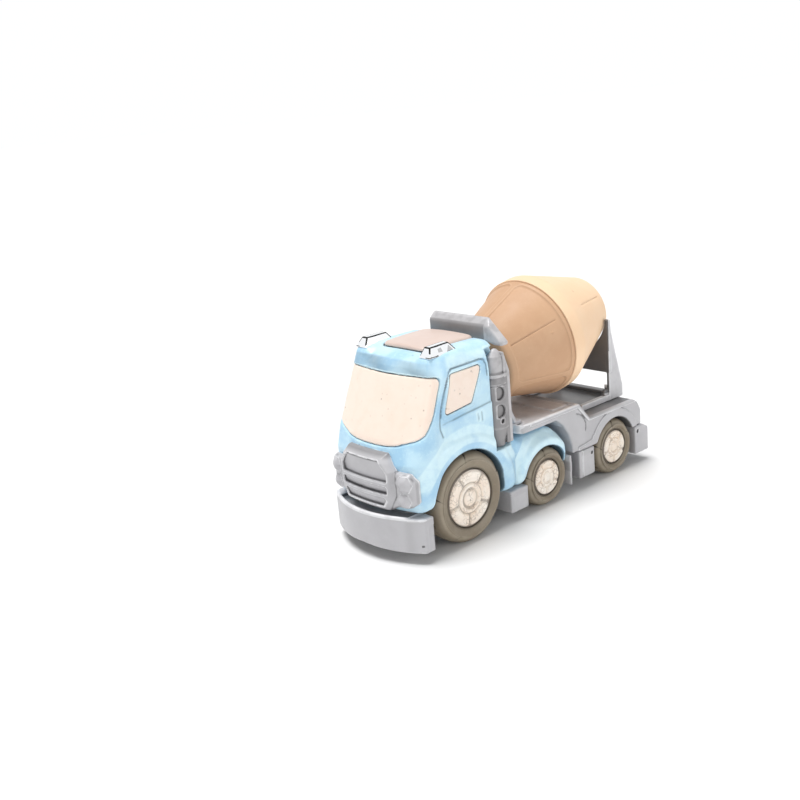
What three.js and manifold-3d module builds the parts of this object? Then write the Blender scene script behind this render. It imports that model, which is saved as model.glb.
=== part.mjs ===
// Toy cement mixer: a blue tractor unit with cream windows, a grey trailer that swings on a
// kingpin, and a tan mixing drum that turns on its tilted axis. Millimetres, +Z up. The truck
// faces -Y, +X is its left side, and the origin is on the ground under the middle of the truck.

import * as THREE from "three";
import { mergeVertices } from "three/addons/utils/BufferGeometryUtils.js";
import Module from "manifold-3d";

const wasm = await Module();
wasm.setup();

// ---------------------------------------------------------------- driving dimensions

const GAP = 0.35; // clearance kept between touching mouldings
const WALL = 3; // thickness of the mouldings
const HALF_WIDTH = 46; // half the width over the fenders
const WHEEL_FACE = 45.7; // outer face of every wheel, from the middle plane

const FRONT_WHEEL = { y: -70, radius: 32, width: 19, hub: 20.4, segments: 30 };
const MIDDLE_WHEEL = { y: 8.3, radius: 22, width: 15.5, hub: 13.4, segments: 22 };
const REAR_WHEEL = { y: 87.7, radius: 22, width: 15.5, hub: 13.4, segments: 22 };
const ARCH_CLEARANCE = 1.6; // between a tyre and its wheel arch
const AXLE_RADIUS = 2;
const BEARING_CLEARANCE = 0.35;

const NOSE_Y = -119.5; // front of the cab moulding on the middle plane
const NOSE_BOTTOM = 34;
const CAB_BACK_Y = -22.7;
const ROOF_TOP = 134;
const CAB_BOW_RADIUS = 130; // plan curve of the cab's front
const DECK_TOP = 57; // tractor deck behind the cab
const SKIRT_BOTTOM = 24; // lower edge of the blue moulding between the wheels

const BUMPER_FRONT = -130;
const BUMPER_BOW_RADIUS = 71;
const BUMPER_BOTTOM = 8;
const BUMPER_TOP = 33;

const KINGPIN = { y: 0, radius: 5 };
const BED_FRONT = -16.6;
const BED_RAIL_TOP = 67.5;
const BED_FLOOR = 65.5;
const REAR_DECK = 53.5;
const TRAILER_END = 130;

const DRUM = {
  tilt: Math.atan2(19.1, 114.7), // the drum's axis climbs towards the back
  y: -6.4, // centre of the drum's front disc
  z: 104.1,
  frontRadius: 28.3,
  seam: 51.4, // distance along the axis from the front disc to the two shells' joint
  seamRadius: 45,
  widest: 62,
  widestRadius: 46,
  length: 116.3,
  mouthRadius: 25.2,
  wall: 2.2,
};

const STAND = { front: 99.6, back: 116.4, outer: 32, inner: 29.6, top: 118 };

// ---------------------------------------------------------------- colours

const BLUE = { color: 0xc4e3f7, roughness: 0.35, metalness: 0 };
const CREAM = { color: 0xfaeadd, roughness: 0.4, metalness: 0 };
const GREY = { color: 0xc4c3c5, roughness: 0.4, metalness: 0 };
const SMOKE = { color: 0x8a8886, roughness: 0.45, metalness: 0 };
const TAN = { color: 0xdcb48c, roughness: 0.4, metalness: 0 };
const SAND = { color: 0xf6dcb8, roughness: 0.4, metalness: 0 };
const TYRE = { color: 0x8b7b68, roughness: 0.6, metalness: 0 };
const CHROME = { color: 0xf2f3f5, roughness: 0.1, metalness: 1 };
const STEEL = { color: 0xb9bcc0, roughness: 0.3, metalness: 1 };

// ---------------------------------------------------------------- solids

/** A closed three.js geometry as a solid that can be joined and cut. */
function solid(geometry) {
  geometry.deleteAttribute("normal");
  geometry.deleteAttribute("uv");
  const merged = mergeVertices(geometry, 1e-4);
  const vertProperties = Float32Array.from(merged.attributes.position.array);
  const corners = [];
  const index = merged.index.array;
  for (let i = 0; i < index.length; i += 3) {
    const [a, b, c] = [index[i], index[i + 1], index[i + 2]];
    if (a !== b && b !== c && c !== a) corners.push(a, b, c);
  }
  const make = (order) =>
    new wasm.Manifold(new wasm.Mesh({ numProp: 3, vertProperties, triVerts: Uint32Array.from(order) }));
  const made = make(corners);
  return made.volume() > 0 ? made : make(corners.reverse());
}

/** A solid back as a three.js geometry. */
function geometryOf(body) {
  const mesh = body.getMesh();
  const geometry = new THREE.BufferGeometry();
  geometry.setAttribute("position", new THREE.BufferAttribute(mesh.vertProperties, 3));
  geometry.setIndex(new THREE.BufferAttribute(mesh.triVerts, 1));
  geometry.computeVertexNormals();
  return geometry;
}

const join = (...bodies) => bodies.reduce((a, b) => a.add(b));
const cut = (body, ...tools) => tools.reduce((a, b) => a.subtract(b), body);

/** A box from its low corner to its high corner. */
function box([x0, y0, z0], [x1, y1, z1]) {
  const geometry = new THREE.BoxGeometry(x1 - x0, y1 - y0, z1 - z0);
  return solid(geometry.translate((x0 + x1) / 2, (y0 + y1) / 2, (z0 + z1) / 2));
}

/** Outline points with rounded corners: each entry is [a, b] or [a, b, radius]. */
function outline(points, curveSteps = 3) {
  const path = new THREE.Path();
  const at = points.map(([a, b]) => new THREE.Vector2(a, b));
  points.forEach(([, , radius = 0], i) => {
    const corner = at[i];
    const before = at[(i + at.length - 1) % at.length];
    const after = at[(i + 1) % at.length];
    const room = 0.48 * Math.min(corner.distanceTo(before), corner.distanceTo(after));
    const reach = Math.min(radius, room);
    const enter = corner.clone().add(before.clone().sub(corner).setLength(reach));
    const leave = corner.clone().add(after.clone().sub(corner).setLength(reach));
    if (i === 0) path.moveTo(enter.x, enter.y);
    else path.lineTo(enter.x, enter.y);
    if (radius) path.quadraticCurveTo(corner.x, corner.y, leave.x, leave.y);
  });
  return path.getPoints(curveSteps);
}

/** Both halves of an outline that is given for positive x only, from top to bottom. */
const mirrored = (half) => [...half, ...half.map(([x, ...rest]) => [-x, ...rest]).reverse()];

function extrude(points, depth, steps) {
  const shape = new THREE.Shape(outline(points));
  return new THREE.ExtrudeGeometry(shape, { depth, steps, bevelEnabled: false });
}

const X_AXIS = new THREE.Vector3(1, 0, 0);
const Y_AXIS = new THREE.Vector3(0, 1, 0);
const Z_AXIS = new THREE.Vector3(0, 0, 1);

/** A side outline in (y, z) drawn out from x0 to x1. */
function sideGeometry(points, x0, x1, steps = 1) {
  const turn = new THREE.Matrix4().makeBasis(Y_AXIS, Z_AXIS, X_AXIS);
  return extrude(points, x1 - x0, steps).applyMatrix4(turn).translate(x0, 0, 0);
}

const alongX = (points, x0, x1) => solid(sideGeometry(points, x0, x1));

/** A front outline in (x, z) drawn out from y0 to y1. */
const alongY = (points, y0, y1) =>
  solid(extrude(points, y1 - y0, 1).rotateX(Math.PI / 2).translate(0, y1, 0));

/** A plan outline in (x, y) drawn out from z0 to z1. */
const alongZ = (points, z0, z1) => solid(extrude(points, z1 - z0, 1).translate(0, 0, z0));

/** A cylinder along X, Y or Z, from one end to the other; at gives the other two coordinates. */
function rod(axis, radius, [from, to], [a, b], segments = 24) {
  const geometry = new THREE.CylinderGeometry(radius, radius, to - from, segments);
  const middle = (from + to) / 2;
  if (axis === "x") return solid(geometry.rotateZ(-Math.PI / 2).translate(middle, a, b));
  if (axis === "y") return solid(geometry.translate(a, middle, b));
  return solid(geometry.rotateX(Math.PI / 2).translate(a, b, middle));
}

/** A turned solid about Y; the profile lists [radius, height along the axis]. */
function turned(profile, segments) {
  const points = profile.map(([r, h]) => new THREE.Vector2(r, h));
  return solid(new THREE.LatheGeometry(points, segments));
}

/** The same solid on both sides of the middle plane. */
const bothSides = (body) => body.add(body.mirror([1, 0, 0]));

// ---------------------------------------------------------------- the cab's curved front

const BOW_STEPS = 12;

/** Pushes the front of a solid back towards its sides, so that it is curved in plan. */
function bowed(points, halfWidth, radius, { from = -95, to = -60, corner = 3 } = {}) {
  const geometry = sideGeometry(points, -halfWidth, halfWidth, BOW_STEPS);
  const position = geometry.attributes.position;
  for (let i = 0; i < position.count; i += 1) {
    const x = Math.abs(position.getX(i));
    const y = position.getY(i);
    const share = THREE.MathUtils.clamp((to - y) / (to - from), 0, 1);
    const edge = Math.max(0, (x - 0.84 * HALF_WIDTH) / (0.16 * HALF_WIDTH));
    position.setY(i, y + share * (x ** 2 / (2 * radius) + corner * edge ** 2));
  }
  return solid(geometry);
}

/** The cab's side outline, shrunk by inset. */
function cabProfile(inset, bottom) {
  const i = inset;
  return [
    [NOSE_Y + i, bottom],
    [NOSE_Y + i, 66],
    [NOSE_Y + 4 + i, 80],
    [-98 + 1.1 * i, 121 - 0.4 * i],
    [-89 + 0.7 * i, 130.4 - 0.8 * i],
    [-74 + 0.2 * i, 133.4 - i],
    [-60, ROOF_TOP - i],
    [-40 - 0.3 * i, ROOF_TOP - i],
    [-33.5 - i, 132 - i],
    [-30.6 - i, 126],
    [CAB_BACK_Y - i, 102],
    [CAB_BACK_Y - i, bottom],
  ];
}

/** The cab's front outline, shrunk by inset: it rounds the roof's long edges. */
function cabFront(inset, bottom) {
  const i = inset;
  return mirrored([
    [24, ROOF_TOP - 0.3 - i],
    [33.5 - 0.3 * i, 132 - i],
    [39.5 - 0.6 * i, 129 - 0.8 * i],
    [43.8 - 0.9 * i, 124 - 0.5 * i],
    [HALF_WIDTH - i, 115],
    [HALF_WIDTH - i, bottom],
  ]);
}

function cabBody(inset, bottom) {
  const body = bowed(cabProfile(inset, bottom), HALF_WIDTH - inset, CAB_BOW_RADIUS);
  return body.intersect(alongY(cabFront(inset, bottom), -140, 0));
}

// ---------------------------------------------------------------- outlines on the cab

const WINDSHIELD = mirrored([
  [43, 120.2, 3],
  [46, 112],
  [46, 86],
  [40.4, 82.2, 3],
  [33, 79.6],
  [23, 77.5],
  [11, 76.5],
]);

/** The windshield's ends at the pillars, in the side view: only the part ahead is pane. */
const PILLAR = [
  [-150, 130],
  [-85.6, 130],
  [-88.2, 116.5],
  [-90.8, 110],
  [-95.9, 98],
  [-100.7, 90],
  [-104.7, 84.7],
  [-107.6, 82.4],
  [-107.6, 60],
  [-150, 60],
];

const SIDE_WINDOW = [
  [-87, 94.6, 3],
  [-62, 97.2, 4],
  [-50.5, 120.6, 3],
  [-78.5, 120.2, 4],
];

const ROOF_PANEL = mirrored([
  [22, -80, 8],
  [25, -35, 5],
]);

const GRILLE = mirrored([
  [19.4, 73.4, 2],
  [27, 62.6],
  [38, 62.2, 4],
  [42, 56, 3],
  [42, 42, 4],
  [36, 38.5, 3],
  [26, 37.5],
  [21, 34.4],
]);

const grown = (points, by) => {
  const middle = new THREE.Vector2();
  points.forEach(([a, b]) => middle.add(new THREE.Vector2(a / points.length, b / points.length)));
  return points.map(([a, b, radius = 0]) => {
    const away = new THREE.Vector2(a, b).sub(middle);
    const scale = 1 + by / away.length();
    return [middle.x + away.x * scale, middle.y + away.y * scale, radius];
  });
};

// ---------------------------------------------------------------- tractor

const archRadius = (wheel) => wheel.radius + ARCH_CLEARANCE;

/** The space of one pair of wheels, from the inner side of the tyres outwards. */
function wheelSpace(wheel, grow, inner) {
  const span = [inner, HALF_WIDTH + 10];
  return bothSides(rod("x", archRadius(wheel) + grow, span, [wheel.y, wheel.radius], 40));
}

const WELL_INNER = 25; // inner wall of the front wheel wells
const WELL_INNER_SMALL = 28;
const WELL_WALL = 2;

const STACK = { x: 39.6, y: -33.6, notchX: 33, notchFront: -43.2, notchBack: -24.7, top: 127 };

function deckProfile(inset, bottom) {
  const i = inset;
  const top = DECK_TOP - i;
  return [
    [-40, bottom],
    [-40, top],
    [8, top],
    [14, top + 1],
    [21 - 0.3 * i, top - 1.5],
    [27.5 - 0.7 * i, top - 7],
    [31.5 - i, 43 - 0.4 * i],
    [33 - i, 35],
    [33 - i, bottom],
  ];
}

const SCREW_POSTS = [-96, -12, 20]; // places of the chassis screws along the middle plane

function cabShell() {
  const fender = rod("x", 45.5, [WELL_INNER, HALF_WIDTH], [FRONT_WHEEL.y, FRONT_WHEEL.radius], 48);
  const fenders = bothSides(fender);
  const backHalf = box([-60, -96, SKIRT_BOTTOM], [60, -20, 90]);
  const deck = alongX(deckProfile(0, SKIRT_BOTTOM), -HALF_WIDTH, HALF_WIDTH);
  const outer = join(cabBody(0, NOSE_BOTTOM), fenders.intersect(backHalf), deck);
  const hollow = join(
    cabBody(WALL, 10),
    alongX(deckProfile(WALL, 10), WALL - HALF_WIDTH, HALF_WIDTH - WALL),
  );
  const keptInside = join(
    wheelSpace(FRONT_WHEEL, WELL_WALL, WELL_INNER - WELL_WALL),
    wheelSpace(MIDDLE_WHEEL, WELL_WALL, WELL_INNER_SMALL - WELL_WALL),
    stackNotch(WALL),
    ...SCREW_POSTS.map((y) => rod("z", 4, [30.6, 128], [0, y], 16)),
  );
  const pivotPad = rod("z", 11, [40, DECK_TOP], [0, KINGPIN.y], 32);
  const pocketOutline = alongY(grown(WINDSHIELD, GAP), -140, -80).intersect(
    alongX(PILLAR, -HALF_WIDTH - 5, HALF_WIDTH + 5).translate([0, GAP, 0]),
  );
  const windshieldPocket = cut(pocketOutline, cabBody(0, 20).translate([0, 2, 0]));
  const windowPockets = bothSides(alongX(grown(SIDE_WINDOW, GAP), HALF_WIDTH - 1.8, HALF_WIDTH + 5));
  const roofPocket = alongZ(grown(ROOF_PANEL, GAP), ROOF_TOP - 1.6, ROOF_TOP + 5);
  const kingpinHole = rod("z", KINGPIN.radius + GAP, [40, 70], [0, KINGPIN.y]);
  const screwHoles = SCREW_POSTS.map((y) => rod("z", 1.7, [20, 39], [0, y], 12));
  const lightHoles = bothSides(box([28.5, -78, 127], [32.5, -73, 140]));
  return cut(
    outer,
    cut(hollow, keptInside, pivotPad.intersect(box([-20, -20, 50], [20, 20, 60]))),
    wheelSpace(FRONT_WHEEL, 0, WELL_INNER),
    wheelSpace(MIDDLE_WHEEL, 0, WELL_INNER_SMALL),
    bothSides(box([-1, FRONT_WHEEL.y - 40, -10], [60, FRONT_WHEEL.y + 34, SKIRT_BOTTOM])),
    axleSlot(FRONT_WHEEL, WELL_INNER),
    axleSlot(MIDDLE_WHEEL, WELL_INNER_SMALL),
    stackNotch(0),
    windshieldPocket,
    windowPockets,
    roofPocket,
    kingpinHole,
    lightHoles,
    ...screwHoles,
  );
}

/** Room for an axle through the inner walls of the wheel wells, open below. */
function axleSlot(wheel, inner) {
  const half = AXLE_RADIUS + 1;
  const side = box([inner - 5, wheel.y - half, -5], [inner + 2, wheel.y + half, wheel.radius + half]);
  return bothSides(side);
}

/** The corner of the cab that holds an exhaust stack, grown inwards by grow. */
function stackNotch(grow) {
  const low = [STACK.notchX - grow, STACK.notchFront - grow, DECK_TOP + GAP - grow];
  return bothSides(box(low, [60, STACK.notchBack + grow, STACK.top + 1.5 + grow]));
}

function windshield() {
  const ends = alongX(PILLAR, -HALF_WIDTH - 5, HALF_WIDTH + 5);
  const pane = cabBody(0, 20).intersect(alongY(WINDSHIELD, -140, -80)).intersect(ends);
  return cut(pane, cabBody(0, 10).translate([0, 1.7, 0]));
}

function sideWindow(side) {
  const pane = alongX(SIDE_WINDOW, HALF_WIDTH - 1.5, HALF_WIDTH);
  return side > 0 ? pane : pane.mirror([1, 0, 0]);
}

function roofPanel() {
  const plate = alongZ(ROOF_PANEL, ROOF_TOP - 1.3, ROOF_TOP + 1.2);
  const crown = alongZ(grown(ROOF_PANEL, -3), ROOF_TOP, ROOF_TOP + 2.2);
  return join(plate, crown);
}

/** A clear lamp block on a front corner of the roof, wider at its foot, with a peg below. */
function roofLight(side) {
  const sideView = [
    [-90.6, 126],
    [-88.6, 138.8],
    [-68, 139],
    [-64.6, 135],
    [-64.6, 126],
  ];
  const frontView = [
    [25.4, 126],
    [37.4, 126],
    [34.4, 140],
    [27, 140],
  ];
  const block = alongX(sideView, 20, 40).intersect(alongY(frontView, -95, -60));
  const peg = box([29, -77.6, 129.6], [32, -73.4, 134]);
  const light = join(cut(block, cabBody(0, 20).translate([0, 0, GAP])), peg);
  return side > 0 ? light : light.mirror([1, 0, 0]);
}

function grille() {
  const slab = (front, back) => {
    const side = [
      [front, 30],
      [front, 66],
      [front + 3.4, 78],
      [back + 5, 78],
      [back, 66],
      [back, 30],
    ];
    return bowed(side, 43, CAB_BOW_RADIUS, { from: -100, to: -60, corner: 0 });
  };
  const base = slab(NOSE_Y - 3, NOSE_Y - GAP).intersect(alongY(GRILLE, -140, -90));
  const hex = mirrored([
    [19.4, 73.4, 2],
    [27, 62.6],
    [27, 46],
    [20.5, 34.4],
  ]);
  const plate = slab(NOSE_Y - 6.6, NOSE_Y - 1).intersect(alongY(hex, -140, -90));
  const upper = mirrored([[15.5, 69], [22, 61], [22, 55.4]]);
  const slots = [
    mirrored([[21.5, 52.6], [21.5, 47.4]]),
    mirrored([[21, 44.8], [18, 38.6]]),
  ];
  const recesses = [upper, ...slots].map((shape) => alongY(shape, -140, NOSE_Y - 4.4));
  const bowAt = (x) => NOSE_Y + x ** 2 / (2 * CAB_BOW_RADIUS);
  const lamp = (x, z, radius) => rod("y", radius, [bowAt(x) - 4.6, NOSE_Y + 2.6], [x, z], 20);
  const lamps = bothSides(join(lamp(34.6, 55.4, 5.2), lamp(34, 44, 4.2)));
  const plugs = bothSides(rod("y", 2.4, [NOSE_Y - 2, NOSE_Y + 1.6], [14, 44], 12));
  const clearOfCab = cabBody(0, 10).translate([0, -GAP, 0]);
  const face = cut(join(base, plate, lamps), ...recesses, clearOfCab);
  return join(face, cut(plugs, cabBody(0, NOSE_BOTTOM)));
}

function bumper() {
  const section = [
    [BUMPER_FRONT, BUMPER_BOTTOM + 2],
    [BUMPER_FRONT, BUMPER_TOP - 1],
    [BUMPER_FRONT + 2.4, BUMPER_TOP],
    [BUMPER_FRONT + 2.6, NOSE_BOTTOM - GAP - 3],
    [BUMPER_FRONT + 15, NOSE_BOTTOM - GAP - 3],
    [BUMPER_FRONT + 15, NOSE_BOTTOM - GAP - 6.4],
    [BUMPER_FRONT + 3.4, NOSE_BOTTOM - GAP - 6.4],
    [BUMPER_FRONT + 3.4, BUMPER_BOTTOM + 1],
  ];
  const front = bowed(section, WHEEL_FACE, BUMPER_BOW_RADIUS, { from: -100, to: -60, corner: 1 });
  const ends = bothSides(box([WHEEL_FACE - 3, -115, BUMPER_BOTTOM], [WHEEL_FACE, -106, 30]));
  return join(front.intersect(box([-60, -140, 0], [60, -106, 40])), ends);
}

const CHASSIS_PLATE = [26.5, 30]; // bottom and top of the main chassis plate

function bearing(wheel, x0, x1, z0, z1) {
  return box([x0, wheel.y - 6, z0], [x1, wheel.y + 6, z1]);
}

function tractorChassis() {
  const [low, high] = CHASSIS_PLATE;
  const plate = box([-21.5, -111, low], [21.5, 29.6, high]);
  const tongue = box([-15, 29, 19], [15, 35, 23.6]);
  const drop = box([-15, 25, 19], [15, 29.6, low + 1]);
  const cross = box([-45.6, -31.5, 19.4], [45.6, -14.6, SKIRT_BOTTOM - GAP]);
  const link = box([-21.5, -31.5, 20], [21.5, -16, low + 1]);
  const steps = box([30, -32, 7.5], [45.6, -14.2, SKIRT_BOTTOM - GAP]);
  const stepHollow = box([32, -30, 5], [43.6, -16.2, 20]);
  const flapBar = box([-45.4, 33.35, 19], [45.4, 35, 26]);
  const flap = box([30.5, 33.35, 8], [45.4, 35, 31]);
  const bearings = [
    bearing(FRONT_WHEEL, 16, 21.5, low + 1, 38),
    bearing(MIDDLE_WHEEL, 19, 24.5, 16.5, low + 1),
  ].map(bothSides);
  const bores = [FRONT_WHEEL, MIDDLE_WHEEL].map((wheel) =>
    rod("x", AXLE_RADIUS + BEARING_CLEARANCE, [-30, 30], [wheel.y, wheel.radius], 16),
  );
  const screwHoles = SCREW_POSTS.map((y) => rod("z", 1.8, [10, 40], [0, y], 12));
  const stepBoxes = bothSides(cut(steps, stepHollow));
  const bars = join(tongue, drop, cross, link, flapBar);
  const frame = join(plate, bars, stepBoxes, bothSides(flap), ...bearings);
  return cut(frame, ...bores, ...screwHoles);
}

/** A screw from below, head at z, shank going up. */
function screw(x, y, z, length) {
  const shank = rod("z", 1.3, [z + 1.6, z + length], [x, y], 12);
  const disc = rod("z", 3, [z, z + 2], [x, y], 16);
  const slot = box([x - 2.2, y - 0.4, z - 1], [x + 2.2, y + 0.4, z + 0.8]);
  return join(cut(disc, slot), shank);
}

function exhaustStack(side) {
  const column = turned(
    [
      [0, 57.8],
      [5.2, 57.8],
      [8, 71.5],
      [8.6, 72.5],
      [8.6, 102],
      [7.4, 107.6],
      [7.2, 109],
      [6.2, 110.5],
      [6.2, 121],
      [4.6, 126.4],
      [0, STACK.top],
    ],
    20,
  );
  const upright = column.rotate([90, 0, 0]).scale([0.72, 1, 1]);
  const leaning = upright.translate([STACK.x, STACK.y, 0]);
  const strip = alongX([[-30.4, 127], [-25.2, 110], [-25.2, 60], [-30.4, 60]], 35.5, 43.5);
  const roomLow = [STACK.notchX + GAP, STACK.notchFront + GAP, DECK_TOP];
  const room = box(roomLow, [60, STACK.notchBack - GAP, 140]);
  const stack = join(leaning, strip).intersect(room);
  return side > 0 ? stack : stack.mirror([1, 0, 0]);
}

/** A beam behind the roof's back edge; its left end slopes down to the exhaust stack. */
function roofBar() {
  const beam = [
    [-26.5, 129],
    [-26.5, 145.4, 3],
    [27.5, 145.4, 1.5],
    [43.6, 130.5, 2],
    [43.6, 127.6],
    [35.6, 127.6],
    [30, 129],
  ];
  return alongY(beam, -30, -22.8);
}

function kingpin() {
  const shaft = rod("z", KINGPIN.radius, [46, 65], [0, KINGPIN.y]);
  const flange = rod("z", 7.5, [46, 49.6], [0, KINGPIN.y]);
  return join(shaft, flange);
}

function kingpinCap() {
  const disc = rod("z", 9, [BED_FLOOR + GAP, BED_FLOOR + 2.4], [0, KINGPIN.y]);
  const slot = box([-4, -0.8, BED_FLOOR + 1.4], [4, 0.8, BED_FLOOR + 5]);
  return cut(disc, slot);
}

// ---------------------------------------------------------------- wheels

const wheelSeat = (wheel) => WHEEL_FACE - wheel.width;

function tyre(wheel) {
  const { radius: r, hub, width: w, segments } = wheel;
  const profile = [
    [hub, 1.5],
    [hub + 2, 0.5],
    [r - 3, 0.5],
    [r, 3.5],
    [r, w - 4.5],
    [r - 1.2, w - 1.8],
    [r - 4, w - 0.2],
    [hub + 2.5, w],
    [hub, w - 1.8],
    [hub, 1.5],
  ];
  return turned(profile, segments);
}

function hub(wheel) {
  const r = wheel.hub - GAP;
  const w = wheel.width;
  const bore = AXLE_RADIUS + 0.12;
  const profile = [
    [0, w - 4],
    [bore, w - 4],
    [bore, 2],
    [4.6, 2],
    [4.6, w - 6],
    [r - 2.4, w - 6],
    [r - 2.4, 1.8],
    [r, 1.8],
    [r, w - 1.6],
    [r * 0.36, w - 2.2],
    [r * 0.3, w - 0.6],
    [0, w - 0.4],
  ];
  return turned(profile, 16);
}

function axle(wheel) {
  const end = WHEEL_FACE - 4.4;
  return rod("x", AXLE_RADIUS, [-end, end], [0, 0], 16);
}

// ---------------------------------------------------------------- trailer

const BED_BACK = 123; // rear end of the bed's moulding
const BED_RIM = 2.5; // width of the raised rim round the bed's floor
const TRAILER_SCREWS = [60, 104]; // places of the chassis screws along the middle plane

/** Lower edge of the bed's side over the tractor's rear fender, from front to back. */
const BED_ARCH = [
  [BED_FRONT, 61],
  [22, 61],
  [29, 55.5],
  [34.8, 47],
  [38, 38],
  [39, 31],
];

function bedPlan(grow) {
  const half = WHEEL_FACE + grow;
  return [
    [-half, BED_BACK + 2],
    [-half, BED_FRONT - grow, 9],
    [half, BED_FRONT - grow, 9],
    [half, BED_BACK + 2],
  ];
}

function trailerBed() {
  const side = [
    ...BED_ARCH,
    [BED_BACK, 31],
    [BED_BACK, 43],
    [119, 50],
    [112.5, REAR_DECK],
    [58.3, REAR_DECK],
    [46.3, BED_RAIL_TOP],
    [BED_FRONT, BED_RAIL_TOP],
  ];
  const inside = [
    [BED_FRONT + WALL, 40],
    [BED_FRONT + WALL, 62.4],
    [44.4, 62.4],
    [55.8, REAR_DECK - WALL],
    [110.5, REAR_DECK - WALL],
    [116, 47],
    [120, 42],
    [120, 20],
    [60, 20],
  ];
  const half = WHEEL_FACE;
  const outer = alongX(side, -half, half).intersect(alongZ(bedPlan(0), 0, 80));
  const hollow = alongX(inside, WALL - half, half - WALL).intersect(alongZ(bedPlan(-WALL), 0, 80));
  const wells = wheelSpace(REAR_WHEEL, WELL_WALL, WELL_INNER_SMALL - WELL_WALL);
  const boss = rod("z", 12, [DECK_TOP + 0.8, 64], [0, KINGPIN.y], 32);
  const recess = box([-half, BED_FRONT, BED_FLOOR], [half, 44.8, 80]);
  const floorRecess = recess.intersect(alongZ(bedPlan(-BED_RIM), 60, 80));
  const underFront = box([-60, -50, 30], [60, 22, 61]).subtract(boss);
  const shell = cut(join(cut(outer, cut(hollow, wells)), boss), floorRecess, underFront);
  const postRoom = outer.add(alongZ(bedPlan(-WALL), 20, 50));
  const posts = TRAILER_SCREWS.map((y) => rod("z", 4, [24.6, 60], [0, y], 16).intersect(postRoom));
  return cut(
    join(shell, ...posts),
    wheelSpace(REAR_WHEEL, 0, WELL_INNER_SMALL),
    axleSlot(REAR_WHEEL, WELL_INNER_SMALL),
    rod("z", KINGPIN.radius + GAP, [40, 80], [0, KINGPIN.y]),
    ...TRAILER_SCREWS.map((y) => rod("z", 1.7, [10, 34], [0, y], 12)),
  );
}

function trailerChassis() {
  const plate = box([-25.5, 43.5, 20.6], [25.5, 113, 24.2]);
  const skirtSide = [
    [43.5, 9.4],
    [61.5, 9.4],
    [61.5, 30.6],
    [43.5, 30.6],
  ];
  const skirt = alongX(skirtSide, 30, WHEEL_FACE);
  const skirtHollow = box([32, 45.5, 5], [43.7, 59.5, 27]);
  const skirtBar = box([-31, 43.5, 20.6], [31, 61.5, 24.2]);
  const tailSide = [
    [113, 8],
    [TRAILER_END, 8, 1],
    [TRAILER_END, 27],
    [123.4, 30.6],
    [113, 30.6],
  ];
  const tail = alongX(tailSide, -WHEEL_FACE, WHEEL_FACE);
  const tailHollow = box([-43, 115.5, 4], [43, TRAILER_END - 2.5, 20.6]);
  const bearings = bothSides(bearing(REAR_WHEEL, 19, 24.5, 17, 27));
  const boreAt = [REAR_WHEEL.y, REAR_WHEEL.radius];
  const bore = rod("x", AXLE_RADIUS + BEARING_CLEARANCE, [-30, 30], boreAt, 16);
  const holes = TRAILER_SCREWS.map((y) => rod("z", 1.8, [10, 40], [0, y], 12));
  const skirts = bothSides(cut(skirt, skirtHollow));
  return cut(join(plate, skirts, skirtBar, cut(tail, tailHollow), bearings), bore, ...holes);
}

function rearStand() {
  const leg = [
    [STAND.front, REAR_DECK + GAP],
    [STAND.back + 0.6, REAR_DECK + GAP],
    [STAND.back + 0.6, 63],
    [103.2, 112],
    [102, STAND.top],
    [STAND.front + 1.6, STAND.top],
  ];
  const legs = bothSides(alongX(leg, STAND.inner, STAND.outer));
  const rail = box([STAND.inner - 1.4, 66, REAR_DECK + GAP], [STAND.outer, STAND.front + 1, 59]);
  const crossRail = box([-STAND.outer, 110, REAR_DECK + GAP], [STAND.outer, STAND.back, 57]);
  const plate = alongY(
    mirrored([[STAND.outer, STAND.top], [STAND.outer, 76]]),
    STAND.front + 0.6,
    STAND.front + 4,
  );
  const body = join(legs, bothSides(rail), crossRail, plate);
  return body.subtract(drumSpace(0.7));
}

/** The drum's outer form grown by a clearance, in the truck's frame. */
function drumSpace(grow) {
  const form = turned(
    [
      [0, -grow],
      [DRUM.frontRadius + grow, -grow],
      [DRUM.seamRadius + grow, DRUM.seam],
      [DRUM.widestRadius + grow, DRUM.widest],
      [DRUM.mouthRadius + grow, DRUM.length + grow],
      [0, DRUM.length + grow],
    ],
    48,
  );
  return form.rotate([(DRUM.tilt * 180) / Math.PI, 0, 0]).translate([0, DRUM.y, DRUM.z]);
}

const HEADBOARD = { front: -13.6, back: -10.4 };

function drumFrontSupport() {
  const shape = mirrored([
    [8, 116, 4],
    [15, 108, 3],
    [17, 98],
    [36, 67.5],
    [36, BED_FLOOR + GAP],
  ]);
  const board = alongY(shape, HEADBOARD.front, HEADBOARD.back);
  const foot = box([-36, HEADBOARD.front, BED_FLOOR + GAP], [36, -6, BED_FLOOR + 3]);
  const hole = rod("y", 3.5, [-20, 20], [0, 0], 24);
  const tilted = hole.rotate([(DRUM.tilt * 180) / Math.PI, 0, 0]).translate([0, DRUM.y, DRUM.z]);
  const capRoom = rod("z", 10, [60, 80], [0, KINGPIN.y]);
  return cut(join(board, foot), tilted, capRoom);
}

// ---------------------------------------------------------------- drum, in its own frame

const DRUM_SEGMENTS = 32;

function drumFrontShell() {
  const { frontRadius: r0, seamRadius: r1, seam, wall } = DRUM;
  return turned(
    [
      [3.3, 0],
      [r0 - 2, 0],
      [r0, 1.5],
      [r1, seam],
      [r1 - wall, seam],
      [r0 - wall, 2 + wall],
      [r0 - 2 - wall, wall],
      [3.3, wall],
      [3.3, 0],
    ],
    DRUM_SEGMENTS,
  );
}

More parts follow.
